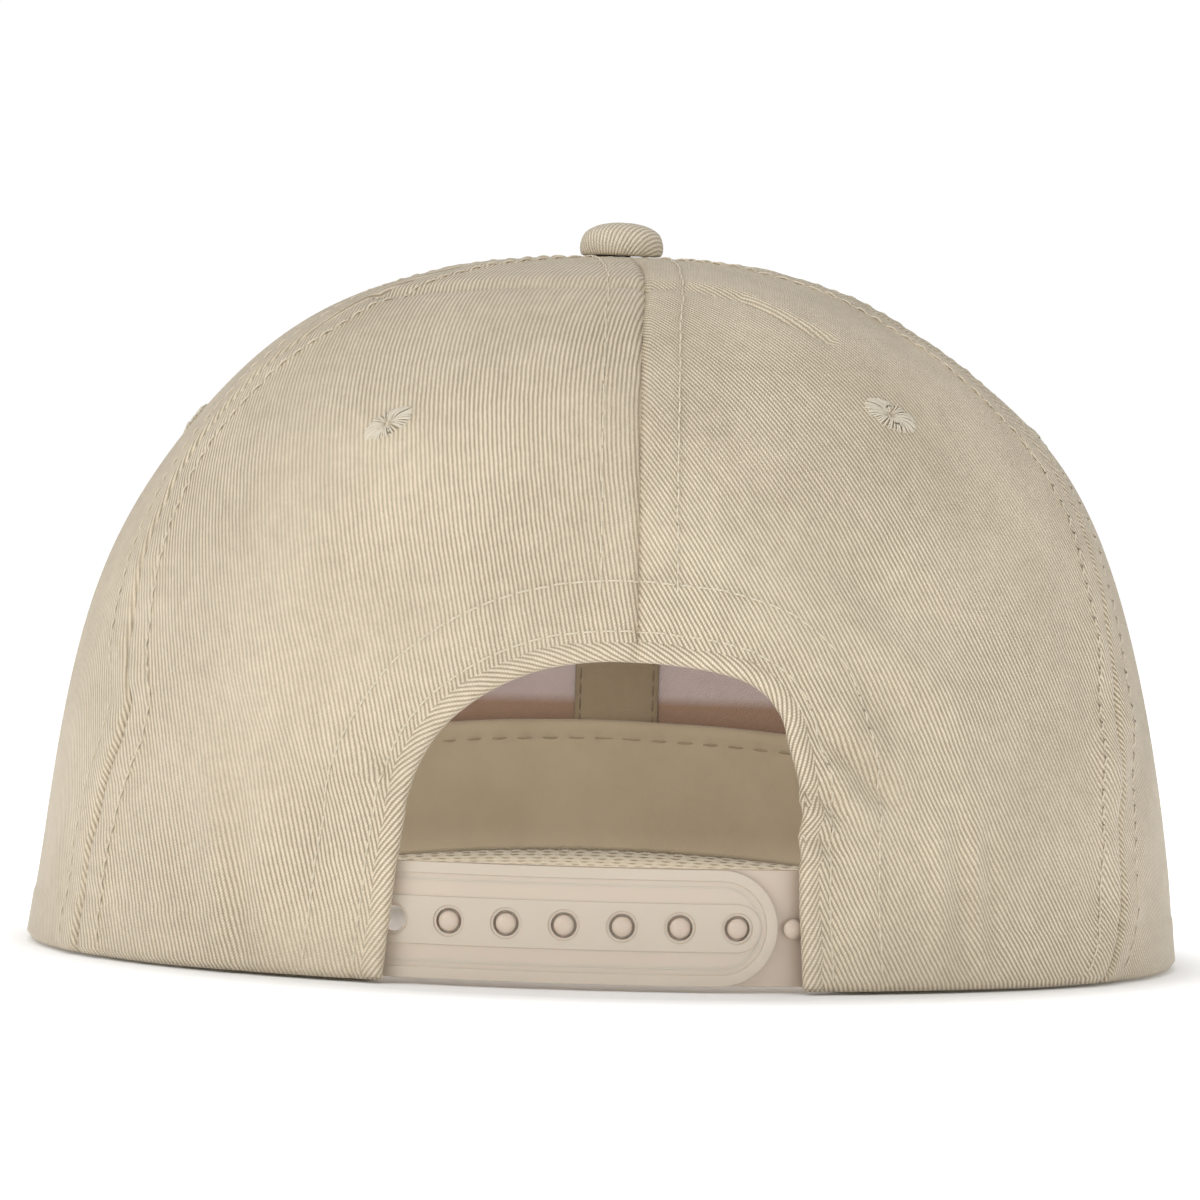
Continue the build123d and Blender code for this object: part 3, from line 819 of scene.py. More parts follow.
CAP_LIGHT, CAP_DARK = (0.88, 0.757, 0.572, 1.0), (0.325, 0.259, 0.17, 1.0)
TWILL = twill("khaki_twill", CAP_LIGHT, CAP_DARK)
LEFT_TWILL = twill("khaki_twill_left", CAP_LIGHT, CAP_DARK, turn=17.0)
# Painted light: the button uses a lighter copy of the khaki twill, painted brighter than the crown's cloth.
LIT_BUTTON_TWILL = twill("khaki_twill_button_painted_light", (0.94, 0.83, 0.65, 1.0), (0.45, 0.37, 0.26, 1.0))
# Painted shade: the visor's underside uses a darker, flatter copy of the khaki twill, for the shade under
# the cap.
SHADED_UNDER_TWILL = twill("visor_under_twill_painted_shade", (0.74, 0.63, 0.46, 1.0), (0.48, 0.40, 0.275, 1.0))
ROLL_TWILL = twill("khaki_twill_bias", CAP_LIGHT, CAP_DARK, turn=58.0)
TAPE = plain_weave("tape_cloth", (0.38, 0.30, 0.19, 1.0), (0.22, 0.165, 0.10, 1.0), 0.5, 0.0001)
# Painted highlight: the sweatband is painted lighter up to 6.5 mm above the floor, fading out over the next
# 12 mm, where light falls on its lower part.
PAINTED_BAND_HIGHLIGHT = (6.5, 12.0, (0.74, 0.64, 0.46, 1.0))
BAND = plain_weave(
    "sweatband_cloth", (0.56, 0.47, 0.33, 1.0), (0.40, 0.32, 0.21, 1.0), 0.35, 0.00007, painted_foot_light=PAINTED_BAND_HIGHLIGHT
)
# Painted shade: the backing is painted reddish brown up to 39.9 mm above the floor, fading out over 2 mm,
# for the shade just above the sweatband's top edge.
PAINTED_BACKING_SHADE = (39.9, 2.0, (0.34, 0.215, 0.145, 1.0))
BACKING = plain_weave(
    "backing_mesh", (0.60, 0.50, 0.48, 1.0), (0.43, 0.34, 0.33, 1.0), 0.6, 0.00012, painted_foot_light=PAINTED_BACKING_SHADE
)
THREAD = thread("khaki_thread", (0.74, 0.655, 0.51, 1.0))
EYELET_THREAD = thread("eyelet_thread", (0.74, 0.67, 0.54, 1.0))
# Painted shade: a dark brown sheet under each eyelet's spokes.
EYELET_GAP_SHADE = thread("eyelet_painted_gap_shade", (0.36, 0.29, 0.19, 1.0))
DARK_THREAD = thread("lining_thread", (0.22, 0.17, 0.11, 1.0))
BAND_THREAD = thread("band_thread", (0.40, 0.32, 0.21, 1.0))
PLASTIC = moulded("snap_plastic", (0.60, 0.505, 0.41, 1.0), (0.55, 0.455, 0.365, 1.0), 0.36)
STEEL = metal("button_steel", (0.62, 0.62, 0.60, 1.0), 0.3)
BOARD = moulded("board_plastic", (0.78, 0.78, 0.76, 1.0), (0.72, 0.72, 0.70, 1.0), 0.6)


# ---------------------------------------------------------------- crown


def flat_place(bearing, centre, share):
    """Place on the flat panel: across from its centre line, and up from the hem."""
    radius = from_apex(wall_line(centre, share))
    across = radius * (np.mod(bearing - centre + np.pi, 2 * np.pi) - np.pi)
    return np.stack([across, arc_of_share(share) * np.ones_like(across), np.zeros_like(across)], -1)


def crown_panel(name, first, last, material=TWILL):
    """One panel between two seams, with its folded hem; back panels leave the opening free."""
    rows = 150
    columns = max(20, int(abs(last - first) * (1.5)))
    share = share_of_arc(np.linspace(0, ARC_LENGTHS[-1], rows))[:, None]
    start, stop = seam_course(first, share), seam_course(last, share)
    bearing = start + (stop - start) * np.linspace(0, 1, columns)[None, :]
    bearing, share = np.broadcast_arrays(bearing, share)
    azimuth = to_wall(bearing, share)
    azimuth, share = azimuth.ravel().copy(), share.ravel().copy()
    quads = grid_quads(rows, columns)
    if abs(first) < 1:
        points = crown(azimuth, share)
        gap, _ = arch_distance(points[:, 0], points[:, 2])
        keep = gap[quads].mean(1) > 0
        edge = np.intersect1d(quads[keep].ravel(), quads[~keep].ravel())
        azimuth[edge], share[edge] = onto_arch(points[edge])
        quads = quads[keep]
    outer = skin(azimuth, share)
    run = arc_of_share(share)
    thick = CLOTH + 0.7 * smooth((10.0 - run) / 1.5) * smooth(run / 1.2)
    inner = outer - crown_normal(azimuth, share) * thick[:, None]
    middle = math.radians((first + last) / 2)
    flat = flat_place(turn_about_apex(crown(azimuth, share)), middle, share)
    cloth_piece(name, outer, inner, quads, flat, material, replaces=(name,), flip=last > first)


def onto_arch(points):
    """Azimuths and shares of the nearest places on the opening's edge."""
    _, along = arch_distance(points[:, 0], points[:, 2])
    x, z = along_path(along, ARCH_LENGTHS, ARCH_EDGE).T
    return back_wall(x, np.maximum(z, 0))


for place, start, stop in (("back", 0, 72), ("side", 72, 120), ("front", 120, 180)):
    crown_panel(f"{place}_left_panel", float(start), float(stop), LEFT_TWILL if place == "back" else TWILL)
    crown_panel(f"{place}_right_panel", -float(start), -float(stop))


def seam_rows(name, seam, low):
    """Stitch rows on both sides of a seam, from a height up to the button."""
    share = share_of_arc(np.linspace(low, ARC_LENGTHS[-1] - 9, 260))
    middle = wall_line(math.radians(seam), share)
    turn, radius = seam_bearing(seam, middle[:, 2]), from_apex(middle)
    parts = []
    inside = radius > SEAM_ROW + 1.5
    for offset in (-SEAM_ROW, SEAM_ROW):
        bearing = turn[inside] + np.arcsin(offset / radius[inside])
        azimuth = to_wall(bearing, share[inside])
        path, normals = wall_row(azimuth, share[inside])
        parts.append(stitches(path, normals, wander=0.08))
    piece(name, *join_parts(parts), THREAD, "thread")


for place, seam in (("back", 72.0), ("front", 120.0)):
    for side, sign in (("left", 1), ("right", -1)):
        seam_rows(f"{place}_{side}_seam_stitches", sign * seam, 2.0)
seam_rows("back_centre_stitches", 0.0, 64.0)
seam_rows("front_centre_stitches", 180.0, 4.0)


def arch_path(distance, first=0.0, last=1.0, count=300):
    """Azimuths and shares of a line at a distance round the opening's edge."""
    along = np.linspace(first, last, count) * ARCH_LENGTHS[-1]
    x, z = along_path(along, ARCH_LENGTHS, ARCH_EDGE).T
    dx, dz = np.gradient(x), np.gradient(z)
    size = np.hypot(dx, dz)
    return back_wall(x + dz / size * distance, np.maximum(z - dx / size * distance, 0.4))


def arch_roll():
    """The cloth rolled round the opening's edge, from the outer face to the lining."""
    profile = smooth_curve(
        [
            (3.0, 0.3),
            (2.3, 0.75),
            (1.3, 1.05),
            (0.3, 0.95),
            (-0.4, 0.3),
            (-0.4, -0.7),
            (0.5, -1.6),
            (3.0, -1.9),
        ],
        18,
    )
    profile = np.vstack([profile, [(3.1, -1.1), (3.2, -0.4)]])
    count = 360
    rings, flat = [], []
    reach = path_lengths(np.vstack([profile, profile[:1]]))
    base = cloth_relief(*arch_path(2.0, count=count))
    for (distance, lift), girth in zip(profile, reach):
        azimuth, share = arch_path(distance, count=count)
        wave = 0.10 * np.sin(np.linspace(0, 62, count)) + 0.06 * np.sin(np.linspace(0, 171, count))
        rings.append(off_wall(azimuth, share, base - 0.45 + lift + wave))
        along = np.linspace(0, ARCH_LENGTHS[-1], count)
        flat.append(np.stack([along, np.full(count, girth), np.zeros(count)], -1))
    flat, node = np.concatenate(flat), ("arch_facing",)
    piece("arch_rolled_edge", *closed_bar(rings, True), ROLL_TWILL, "twill", replaces=node, cloth=flat)


arch_roll()
arch_rows = []
for distance in ARCH_ROWS:
    azimuth, share = arch_path(distance, 0.01, 0.99)
    arch_rows.append(stitches(*wall_row(azimuth, share, 0.05), wander=0.05))
piece("arch_stitches", *join_parts(arch_rows), THREAD, "thread")


# ---------------------------------------------------------------- eyelets and button


def eyelet(name, bearing, height=93.0, lean=0.0, half=(4.7, 3.4), proud=0.5):
    """Buttonhole stitches laid like spokes round a small puckered hole, oval and leaning."""
    azimuth = np.array([math.radians(bearing)])
    share = share_of_height(azimuth, height - crown(azimuth, np.zeros(1))[:, 2])
    centre = skin(azimuth, share)[0]
    out = crown_normal(azimuth, share)[0]
    right = np.cross([0, 0, 1.0], out)
    right /= np.linalg.norm(right)
    up = np.cross(out, right)
    tilt = math.radians(lean)
    right, up = math.cos(tilt) * right + math.sin(tilt) * up, math.cos(tilt) * up - math.sin(tilt) * right
    spokes = 46
    steps = np.linspace(0, 1, 9)
    turns = full_turn(spokes) + RANDOM.normal(0, 0.03, spokes)
    uneven = 1 + RANDOM.normal(0, 0.035, spokes)[:, None]
    spread = steps * 0.86 + 0.14
    wide, tall = half[0] * uneven * spread, half[1] * uneven * spread
    rise = proud * np.sin(np.pi * np.clip(steps * 0.9 + 0.06, 0, 1)) - 0.30
    bulge = rise + RANDOM.normal(0, 0.08, (spokes, 1))
    sink = -(wide**2 + tall**2) / 380
    x, z = wide * np.cos(turns)[:, None], tall * np.sin(turns)[:, None]

    def off_centre(x, z, height):
        """Points beside the eyelet's centre and above the cloth."""
        return centre + x[..., None] * right + z[..., None] * up + height[..., None] * out

    paths = off_centre(x, z, bulge + sink)
    points, faces = tube_along(paths, (0.09 + 0.11 * steps)[None])
    piece(f"{name}_thread", points, faces, EYELET_THREAD, "thread", replaces=(name,))
    # Painted shade: a dark brown oval sheet under the spokes, so that the gaps between them and the
    # eyelet's centre show as shade.
    ring = full_turn(48)
    spread = np.array([0.02, 0.4, 0.7, 0.98])[:, None]
    height = (proud * np.sin(np.pi * spread) - 0.36) - spread**2 * (half[0] ** 2 + half[1] ** 2) / 760
    x, z = spread * half[0] * np.cos(ring), spread * half[1] * np.sin(ring)
    base = off_centre(x, z, height + 0 * x).reshape(-1, 3)
    points, faces, _ = shell(base, base - 0.3 * out, grid_quads(4, 48, close_columns=True))
    piece(f"{name}_gap_shade_disc", points, faces, EYELET_GAP_SHADE, "thread")


eyelet("back_left_eyelet", 35.0, 93.2, 36.0, (4.9, 2.4), 0.8)
eyelet("back_right_eyelet", -40.0, 96.8, -26.0, (5.3, 2.8), 0.8)
for place, bearing in (("side", 96), ("front", 149)):
    eyelet(f"{place}_left_eyelet", bearing)
    eyelet(f"{place}_right_eyelet", -bearing)


def button():
    """Cloth drawn over a round metal shell, with soft gathers near its edge."""
    radius = 7.35
    thickness, rows, columns = 0.5, 34, 96
    profile = smooth_curve(
        [
            (6.1, 0.05),
            (7.0, 0.25),
            (radius, 1.2),
            (7.25, 2.6),
            (6.5, 4.2),
            (4.6, 5.35),
            (2.2, 5.9),
            (0.05, 6.0),
        ],
        rows,
    )
    turn = full_turn(columns)
    gather = 0.10 * np.sin(turn * 13) + 0.07 * np.sin(turn * 7 + 1) + 0.05 * np.sin(turn * 23)
    low = smooth((4.0 - profile[:, 1]) / 4.0)[:, None]
    out = profile[:, :1] * (1 + low * gather * 0.12)
    x, y = out * np.sin(turn), out * np.cos(turn)
    z = np.broadcast_to(profile[:, 1:2], x.shape) + CROWN_HEIGHT + 0.05
    z = z + 0.12 * np.sin(2 * turn + 0.6) * (out / radius)
    points = np.stack([x, y + APEX_Y, z], -1).reshape(-1, 3)
    inward = points - [0, APEX_Y, CROWN_HEIGHT + 2.0]
    inner = points - thickness * inward / np.linalg.norm(inward, axis=-1, keepdims=True)
    arc = path_lengths(profile)[::-1][:, None]
    flat = np.stack([arc * np.sin(turn), arc * np.cos(turn), 0 * arc * turn], -1).reshape(-1, 3)
    quads = grid_quads(rows, columns, close_columns=True)
    node, under = ("button_cover",), ("button_shell",)
    # Painted light: the button's cover takes the lighter copy of the twill.
    cloth_piece("button", points, inner, quads, flat, LIT_BUTTON_TWILL, "twill", node, False)


button()

# ---------------------------------------------------------------- lining


def lining_sheet(name, azimuth, share, depth, material, slot, flat, replaces=()):
    """A closed sheet inside the wall, from grids of azimuths, shares and depths."""
    rows, columns = azimuth.shape
    azimuth, share = azimuth.ravel(), share.ravel()
    depth = np.broadcast_to(depth, (rows, columns)).ravel() - broad_relief(azimuth, share)
    normal = crown_normal(azimuth, share)
    near = crown(azimuth, share) - normal * depth[:, None]
    far = near - normal * LINING
    quads = grid_quads(rows, columns)
    cloth_piece(name, near, far, quads, flat, material, slot, replaces, False)


def wall_grid(first, last, low, high, rows, columns):
    """Azimuths and shares of a grid on the wall, between bearings and distances up the wall."""
    share = share_of_arc(np.linspace(low, high, rows))[:, None]
    bearing = np.radians(np.linspace(first, last, columns))[None, :]
    bearing, share = np.broadcast_arrays(bearing, share)
    return to_wall(bearing, share), share


for side, sign in (("left", 1), ("right", -1)):
    first, last, columns = sign * 121.5, sign * 178.5, 40
    azimuth, share = wall_grid(first, last, 2, ARC_LENGTHS[-1] - 8, 60, columns)
    bearings = np.broadcast_to(np.radians(np.linspace(first, last, columns)), share.shape)
    flat = flat_place(bearings, math.radians(sign * 150), share).reshape(-1, 3)
    name, panel = f"front_{side}_backing", f"front_{side}_panel_cloth"
    lining_sheet(name, azimuth, share, 1.0, BACKING, "backing", flat, (name,))


TAPE_HALF_WIDTH = 8


def tape(name, seam, low, depth, node):
    """Tape over a seam, inside, with a stitch row near each edge."""
    turn = math.radians(seam)
    share = share_of_arc(np.linspace(low, ARC_LENGTHS[-1] - 10.5, 110))
    radius = from_apex(wall_line(turn, share))
    across = np.linspace(-TAPE_HALF_WIDTH, TAPE_HALF_WIDTH, 17)
    bearing = turn + np.arcsin(np.clip(across[None, :] / radius[:, None], -0.98, 0.98))
    grid_share = np.broadcast_to(share[:, None], bearing.shape)
    azimuth = to_wall(bearing, grid_share)
    lift = 0.25 * np.sin(np.pi * (across / (2 * TAPE_HALF_WIDTH) + 0.5)) + 0.12 * np.cos(across * 1.3)
    flat = np.stack([np.broadcast_to(across, bearing.shape), arc_of_share(grid_share), 0 * bearing], -1)
    parts = []
    for column in (1, 15):
        path_azimuth, path_share = azimuth[:, column], grid_share[:, column]
        normal = crown_normal(path_azimuth, path_share)
        inward = depth + 0.78 + lift[column] - broad_relief(path_azimuth, path_share)
        path = off_wall(path_azimuth, path_share, -inward)
        parts.append(stitches(path, -normal, 2.3, 2.9, 0.2))
    rows = piece(f"{name}_stitches", *join_parts(parts), DARK_THREAD, "thread")
    depths, node = depth + 0.2 + lift[None, :], (node,) if node else ()
    flat = flat.reshape(-1, 3)
    lining_sheet(name, azimuth, grid_share, depths, TAPE, "tape", flat, node)


for place, seam in (("back", 72), ("front", 120)):
    for side, sign in (("left", 1), ("right", -1)):
        name = f"{place}_{side}_seam_tape"
        tape(name, sign * seam, 3, 1.5, name)
tape("front_centre_tape", 182.2, 3, 1.9, "centre_seam_tape")
tape("back_centre_tape", -1.2, 61, 1.9, None)


def facing():
    """Hem tape lying inside the edge of the back opening."""
    low, high, columns = 0.01, 0.99, 260
    distances = np.linspace(1.5, 14, 9)
    azimuth, share = zip(*(arch_path(d, low, high, columns) for d in distances))
    azimuth, share = np.array(azimuth), np.array(share)
    run = np.linspace(low, high, columns) * ARCH_LENGTHS[-1]
    flat = np.stack(np.meshgrid(run, distances) + [np.zeros(azimuth.shape)], -1).reshape(-1, 3)
    depth = 0.95 + broad_relief(azimuth, share) - cloth_relief(azimuth, share)
    lining_sheet("arch_facing_tape", azimuth, share, depth, TAPE, "tape", flat, ())


facing()


# Azimuths of the sweatband's two ends, beside the opening, in degrees
BAND_ENDS = (29.0, 333.5)
BAND_COLUMNS = 420
# The cloth's run per radian, the height of the stitch row and its pitch
BAND_RADIUS, BAND_ROW, BAND_PITCH = 90, 21.9, 5.0


def band_depth(azimuth):
    """Depth of the sweatband below the crown's outer face."""
    turn = np.degrees(np.abs(np.mod(azimuth + np.pi, 2 * np.pi) - np.pi))
    return 2.5 + 2.8 * smooth((60 - turn) / 24)


def band_wave(azimuth, height):
    """Soft waves round the sweatband."""
    return 0.35 * np.sin(azimuth * 9 + height / 9) + 0.2 * np.sin(azimuth * 23 + 1)


def hem_turn():
    """Seam allowance that closes the gap between the hem and the sweatband from below."""
    azimuth = np.linspace(*np.radians(BAND_ENDS), BAND_COLUMNS)
    spans = np.linspace(0, 1, 7)
    azimuth, spans = np.meshgrid(azimuth, spans)
    share = share_of_height(azimuth, np.full(azimuth.shape, 0.35) + 0.5 * np.sin(spans * np.pi))
    depth = 1.2 + (band_depth(azimuth) - 0.3) * spans
    below = off_wall(azimuth, share, -depth).reshape(-1, 3)
    above = below + np.array([0, 0, LINING])
    points, faces, _ = shell(below, above, grid_quads(*azimuth.shape))
    flat = np.stack([azimuth * BAND_RADIUS, depth, 0 * depth], -1).reshape(-1, 3)
    return piece("hem_allowance", points, faces, BAND, "tape", cloth=np.concatenate([flat, flat]))


def sweatband():
    """Sweatband with a rolled top edge, its stitch furrow and soft waves, open at the back."""
    columns = BAND_COLUMNS
    azimuth = np.linspace(*np.radians(BAND_ENDS), columns)
    profile = smooth_curve(
        [
            (2.05, 0.6),
            (2.15, 5.0),
            (2.0, 12.0),
            (1.95, 18.5),
            (1.98, 21.0),
            (1.72, 21.9),
            (2.1, 23.0),
            (2.15, 24.2),
            (1.6, 25.2),
            (0.9, 25.3),
            (0.4, 24.4),
            (0.45, 20.0),
            (0.4, 8.0),
            (0.35, 0.9),
        ],
        64,
    )
    length = path_lengths(profile)
    rings, flat = [], []
    for (depth, height), girth in zip(profile, length):
        share = share_of_height(azimuth, np.full(columns, height))
        wave = band_wave(azimuth, height) * smooth(height / 20)
        turns = azimuth * BAND_RADIUS * 2 * np.pi / BAND_PITCH
        dimple = (0.16 + 0.22 * np.cos(turns)) * bell(height - BAND_ROW, 1.0)
        inward = band_depth(azimuth) + depth + wave + dimple
        rings.append(off_wall(azimuth, share, -inward))
        flat.append(np.stack([azimuth * BAND_RADIUS, np.full(columns, girth), 0 * azimuth], -1))
    flat, nodes = np.concatenate(flat), ("sweatband_facing", "sweatband_core")
    band = piece("sweatband", *closed_bar(rings), BAND, "tape", replaces=nodes, cloth=flat)
    share = share_of_height(azimuth, np.full(columns, BAND_ROW))
    path = off_wall(azimuth, share, -(band_depth(azimuth) + 1.98 + band_wave(azimuth, BAND_ROW)))
    threads = stitches(path, -crown_normal(azimuth, share), 3.4, BAND_PITCH, 0.17)
    rows = piece("sweatband_stitches", *threads, BAND_THREAD, "thread")
    hem_turn()


sweatband()


# ---------------------------------------------------------------- visor

VISOR_RIM = smooth_curve(
    [
        (90.6, -39.2),
        (94.3, -68.0),
        (94.3, -82.0),
        (91.3, -97.6),
        (86.6, -109.0),
        (79.4, -120.0),
        (69.0, -130.6),
        (57.0, -139.6),
        (44.0, -147.6),
        (32.0, -152.9),
        (17.0, -155.2),
        (0.0, -155.6),
    ],
    90,
)
VISOR_RIM = np.vstack([VISOR_RIM, VISOR_RIM[-2::-1] * [-1, 1]])
VISOR_ROWS = 8
VISOR_THICK = 3.1


def visor_plan(spans):
    """Plan points between the crown's hem and the rim, for shares from root to rim."""
    turn = np.arcsin(np.clip(VISOR_RIM[:, 0] / HALF_WIDTH, -1, 1) * (0.886 / 0.92))
    root = np.stack([HALF_WIDTH * np.sin(turn), -FRONT_REACH * np.cos(turn)], -1)
    root = root * 1.004
    return root[None] + (VISOR_RIM - root)[None] * spans[:, None, None]


def visor_bottom(x, y):
    """Height of the worn visor's underside, which droops a little more towards its tip."""
    return visor_underside(x, y) - 4.2 * smooth((-y - 84) / 70) * np.clip(1 - (x / 94) ** 2, 0, 1)


def visor_board():
    """The stiff board between the covers."""
    plan = visor_plan(np.linspace(0.004, 0.984, 40))
    z = visor_bottom(plan[..., 0], plan[..., 1])
    low = np.concatenate([plan, z[..., None] + 0.6], -1).reshape(-1, 3)
    points, faces, _ = shell(low + [0, 0, 1.9], low, grid_quads(*z.shape))
    piece("visor_board_sheet", points, faces[:, ::-1], BOARD, "board", replaces=("visor_board",))


def visor_cover(name, top, material):
    """Cloth cover with concentric stitched furrows and a rounded edge seam."""
    spans = np.linspace(0, 1, 110)
    plan = visor_plan(spans)
    left = np.linalg.norm(plan[-1] - plan[0], axis=-1)[None] * (1 - spans[:, None])
    middle = visor_bottom(plan[..., 0], plan[..., 1]) + VISOR_THICK / 2
    furrow = np.zeros(middle.shape)
    for row in range(VISOR_ROWS):
        furrow -= 0.16 * bell(left - visor_row_gap(row) * np.ones_like(left), 0.55)
    edge = np.sqrt(np.clip(1 - (1 - np.clip(left / 1.5, 0, 1)) ** 2, 0, 1))
    half = (VISOR_THICK / 2 + furrow) * edge
    outer = middle + (half if top else -half)
    inner = middle + (0.9 * edge if top else -0.9 * edge)
    face = np.concatenate([plan, outer[..., None]], -1).reshape(-1, 3)
    back = np.concatenate([plan, inner[..., None]], -1).reshape(-1, 3)
    flat = np.stack([plan[..., 0], plan[..., 1], 0 * plan[..., 0]], -1).reshape(-1, 3)
    quads, under = grid_quads(*middle.shape), ("visor_board_sheet",)
    cloth_piece(name, face, back, quads, flat, material, "twill", (name,), top)


def visor_row_gap(row):
    """Distance of a stitch row from the rim."""
    return 3.2 + 8.2 * row


visor_board()
visor_cover("visor_top_cover", True, TWILL)
# Painted shade: the underside cover takes the darker copy of the twill.
visor_cover("visor_under_cover", False, SHADED_UNDER_TWILL)


def visor_stitches():
    """Rows of thread round the visor, above and below."""
    root, rim = visor_plan(np.array([0.0, 1.0]))
    depth = np.linalg.norm(rim - root, axis=-1)
    parts = []
    for row in range(VISOR_ROWS):
        gap = visor_row_gap(row)
        inside = depth > gap + 1.0
        if inside.sum() < 5:
            continue
        span = 1 - gap / depth[inside]
        plan = root[inside] + (rim - root)[inside] * span[:, None]
        for lift, up in ((VISOR_THICK - 0.1, 1), (0.1, -1)):
            z = visor_bottom(plan[:, 0], plan[:, 1]) + lift
            path = np.concatenate([plan, z[:, None]], -1)
            normals = np.tile([0.0, 0.0, float(up)], (len(path), 1))
            parts.append(stitches(path, normals, 2.5, radius=0.2))
    piece("visor_stitches", *join_parts(parts), THREAD, "thread")


visor_stitches()


# ---------------------------------------------------------------- snap straps


def stadium(first, last, half, round_first, round_last, step=0.8):
    """Outline of a bar along s between two ends, rounded where asked."""
    radius = half
    points = []
    start = first + radius if round_first else first
    stop = last - radius if round_last else last
    run = np.arange(start, stop, step)
    points += [(s, -half) for s in run]
    if round_last:
        turn = np.linspace(-math.pi / 2, math.pi / 2, 25)
        points += [(stop + radius * math.cos(t), radius * math.sin(t)) for t in turn]
    else:
        points += [(last, -half), (last, half)]
    points += [(s, half) for s in run[::-1]]
    if round_first:
        turn = np.linspace(math.pi / 2, 3 * math.pi / 2, 25)[1:-1]
        points += [(start + radius * math.cos(t), radius * math.sin(t)) for t in turn]
    return points


def circle(s, radius, count=28):
    """Outline of a hole."""
    return [(s + radius * math.cos(t), radius * math.sin(t)) for t in full_turn(count)]


def plate(outline, holes, low, high, bevel):
    """Flat plate with rounded edges, as points (s, z, out) and faces."""
    curve = bpy.data.curves.new("plate", "CURVE")
    curve.dimensions = "2D"
    curve.fill_mode = "BOTH"
    curve.extrude = (high - low) / 2 - bevel
    curve.bevel_depth = bevel
    curve.bevel_resolution = 2
    curve.offset = -bevel
    for loop in [outline] + holes:
        spline = curve.splines.new("POLY")
        spline.points.add(len(loop) - 1)
        spline.points.foreach_set("co", np.array([(s, z, 0, 1) for s, z in loop], "f").ravel())
        spline.use_cyclic_u = True
    holder = new_object("plate", curve)
    mesh = bpy.data.meshes.new_from_object(holder)
    bpy.data.objects.remove(holder)
    bpy.data.curves.remove(curve)
    return slice_plate(mesh, (low + high) / 2)


def slice_plate(mesh, middle):
    """Cut a flat plate into narrow strips so that it can bend, and weld its seams."""
    work = bmesh.new()
    work.from_mesh(mesh)
    bpy.data.meshes.remove(mesh)
    low = min(v.co.x for v in work.verts)
    high = max(v.co.x for v in work.verts)
    for s in np.arange(low + 0.7, high - 0.5, 1.5):
        everything = work.verts[:] + work.edges[:] + work.faces[:]
        bmesh.ops.bisect_plane(work, geom=everything, dist=1e-5, plane_co=(s, 0, 0), plane_no=(1, 0, 0))
    bmesh.ops.remove_doubles(work, verts=work.verts[:], dist=0.002)
    bmesh.ops.recalc_face_normals(work, faces=work.faces[:])
    work.verts.index_update()
    points = np.array([v.co for v in work.verts]) + [0, 0, middle]
    faces = [[v.index for v in face.verts] for face in work.faces]
    work.free()
    return points, faces


def bend(points, radius):
    """Wrap points (s, z, out) round the strap's plan curve of the given outer radius."""
    turn = (points[:, 0] + ARCH_SHIFT) / STRAP_RADIUS
    out = radius + points[:, 2]
    middle = STRAP_LIFT + STRAP_HEIGHT / 2
    return np.stack([out * np.sin(turn), STRAP_CENTRE_Y + out * np.cos(turn), middle + points[:, 1]], -1)


def peg(s):
    """A snap peg: a short neck under a round head."""
    rows, columns = 18, 28
    profile = smooth_curve(
        [
            (1.35, -0.9),
            (1.3, 0.3),
            (1.5, 0.75),
            (1.72, 1.1),
            (1.5, 1.6),
            (0.95, 1.95),
            (0.02, 2.1),
        ],
        rows,
    )
    turn = full_turn(columns)
    x = s + profile[:, :1] * np.cos(turn)
    z = profile[:, :1] * np.sin(turn)
    out = np.broadcast_to(profile[:, 1:2], x.shape)
    points = np.stack([x, z, out], -1).reshape(-1, 3)
    faces = grid_quads(rows, columns, close_columns=True).tolist()
    faces += [list(range(columns))[::-1], [(rows - 1) * columns + k for k in range(columns)]]
    return points, faces


HALF_STRAP = STRAP_HEIGHT / 2
# Where the straps go under the cloth, and how far each runs past its last snap
SEWN_END, PAST_SNAP = 46.0, 7.0


def outer_strap():
    """Strap with holes: body, raised rim, raised middle band and a ring round every hole."""
    first = FIRST_PEG + SNAP_PITCH - PAST_SNAP
    holes = [FIRST_PEG + SNAP_PITCH * (k + 1) for k in range(SNAP_COUNT)]
    cuts = [circle(s, 2.15) for s in holes]
    rings = [circle(s, 2.65) for s in holes]

    def inset(margin, short):
        """The strap's outline, drawn in by a margin and short of its sewn end."""
        return stadium(first + margin, SEWN_END - short, HALF_STRAP - margin, True, False)

    band = stadium(first + 2.9, SEWN_END - 0.5, 4.05, True, False)
    parts = [
        plate(inset(0.0, 0.0), cuts, -STRAP, -0.28, 0.12),
        plate(inset(0.0, 0.0), [inset(1.9, 1.0)], -0.5, 0.0, 0.13),
        plate(band, rings, -0.5, -0.02, 0.1),
        plate(inset(2.8, 1.0), [inset(3.1, 2.0)], -0.5, -0.2, 0.05),
    ]
    points, faces = join_parts(parts)
    points = bend(points, STRAP_RADIUS)
    return piece("hole_strap_plastic", points, faces, PLASTIC, "snap_plastic", None, sharp=32)


def inner_strap():
    """Strap with pegs, behind the other one."""
    last = FIRST_PEG + SNAP_PITCH * (SNAP_COUNT - 1) + PAST_SNAP
    outline = stadium(-SEWN_END, last, HALF_STRAP, False, True)
    parts = [plate(outline, [], -STRAP, 0.0, 0.15)]
    parts += [peg(FIRST_PEG + SNAP_PITCH * k) for k in range(SNAP_COUNT)]
    points, faces = join_parts(parts)
    radius = STRAP_RADIUS - STRAP - 0.15
    return piece("peg_strap_plastic", bend(points, radius), faces, PLASTIC, "snap_plastic", None, sharp=32)


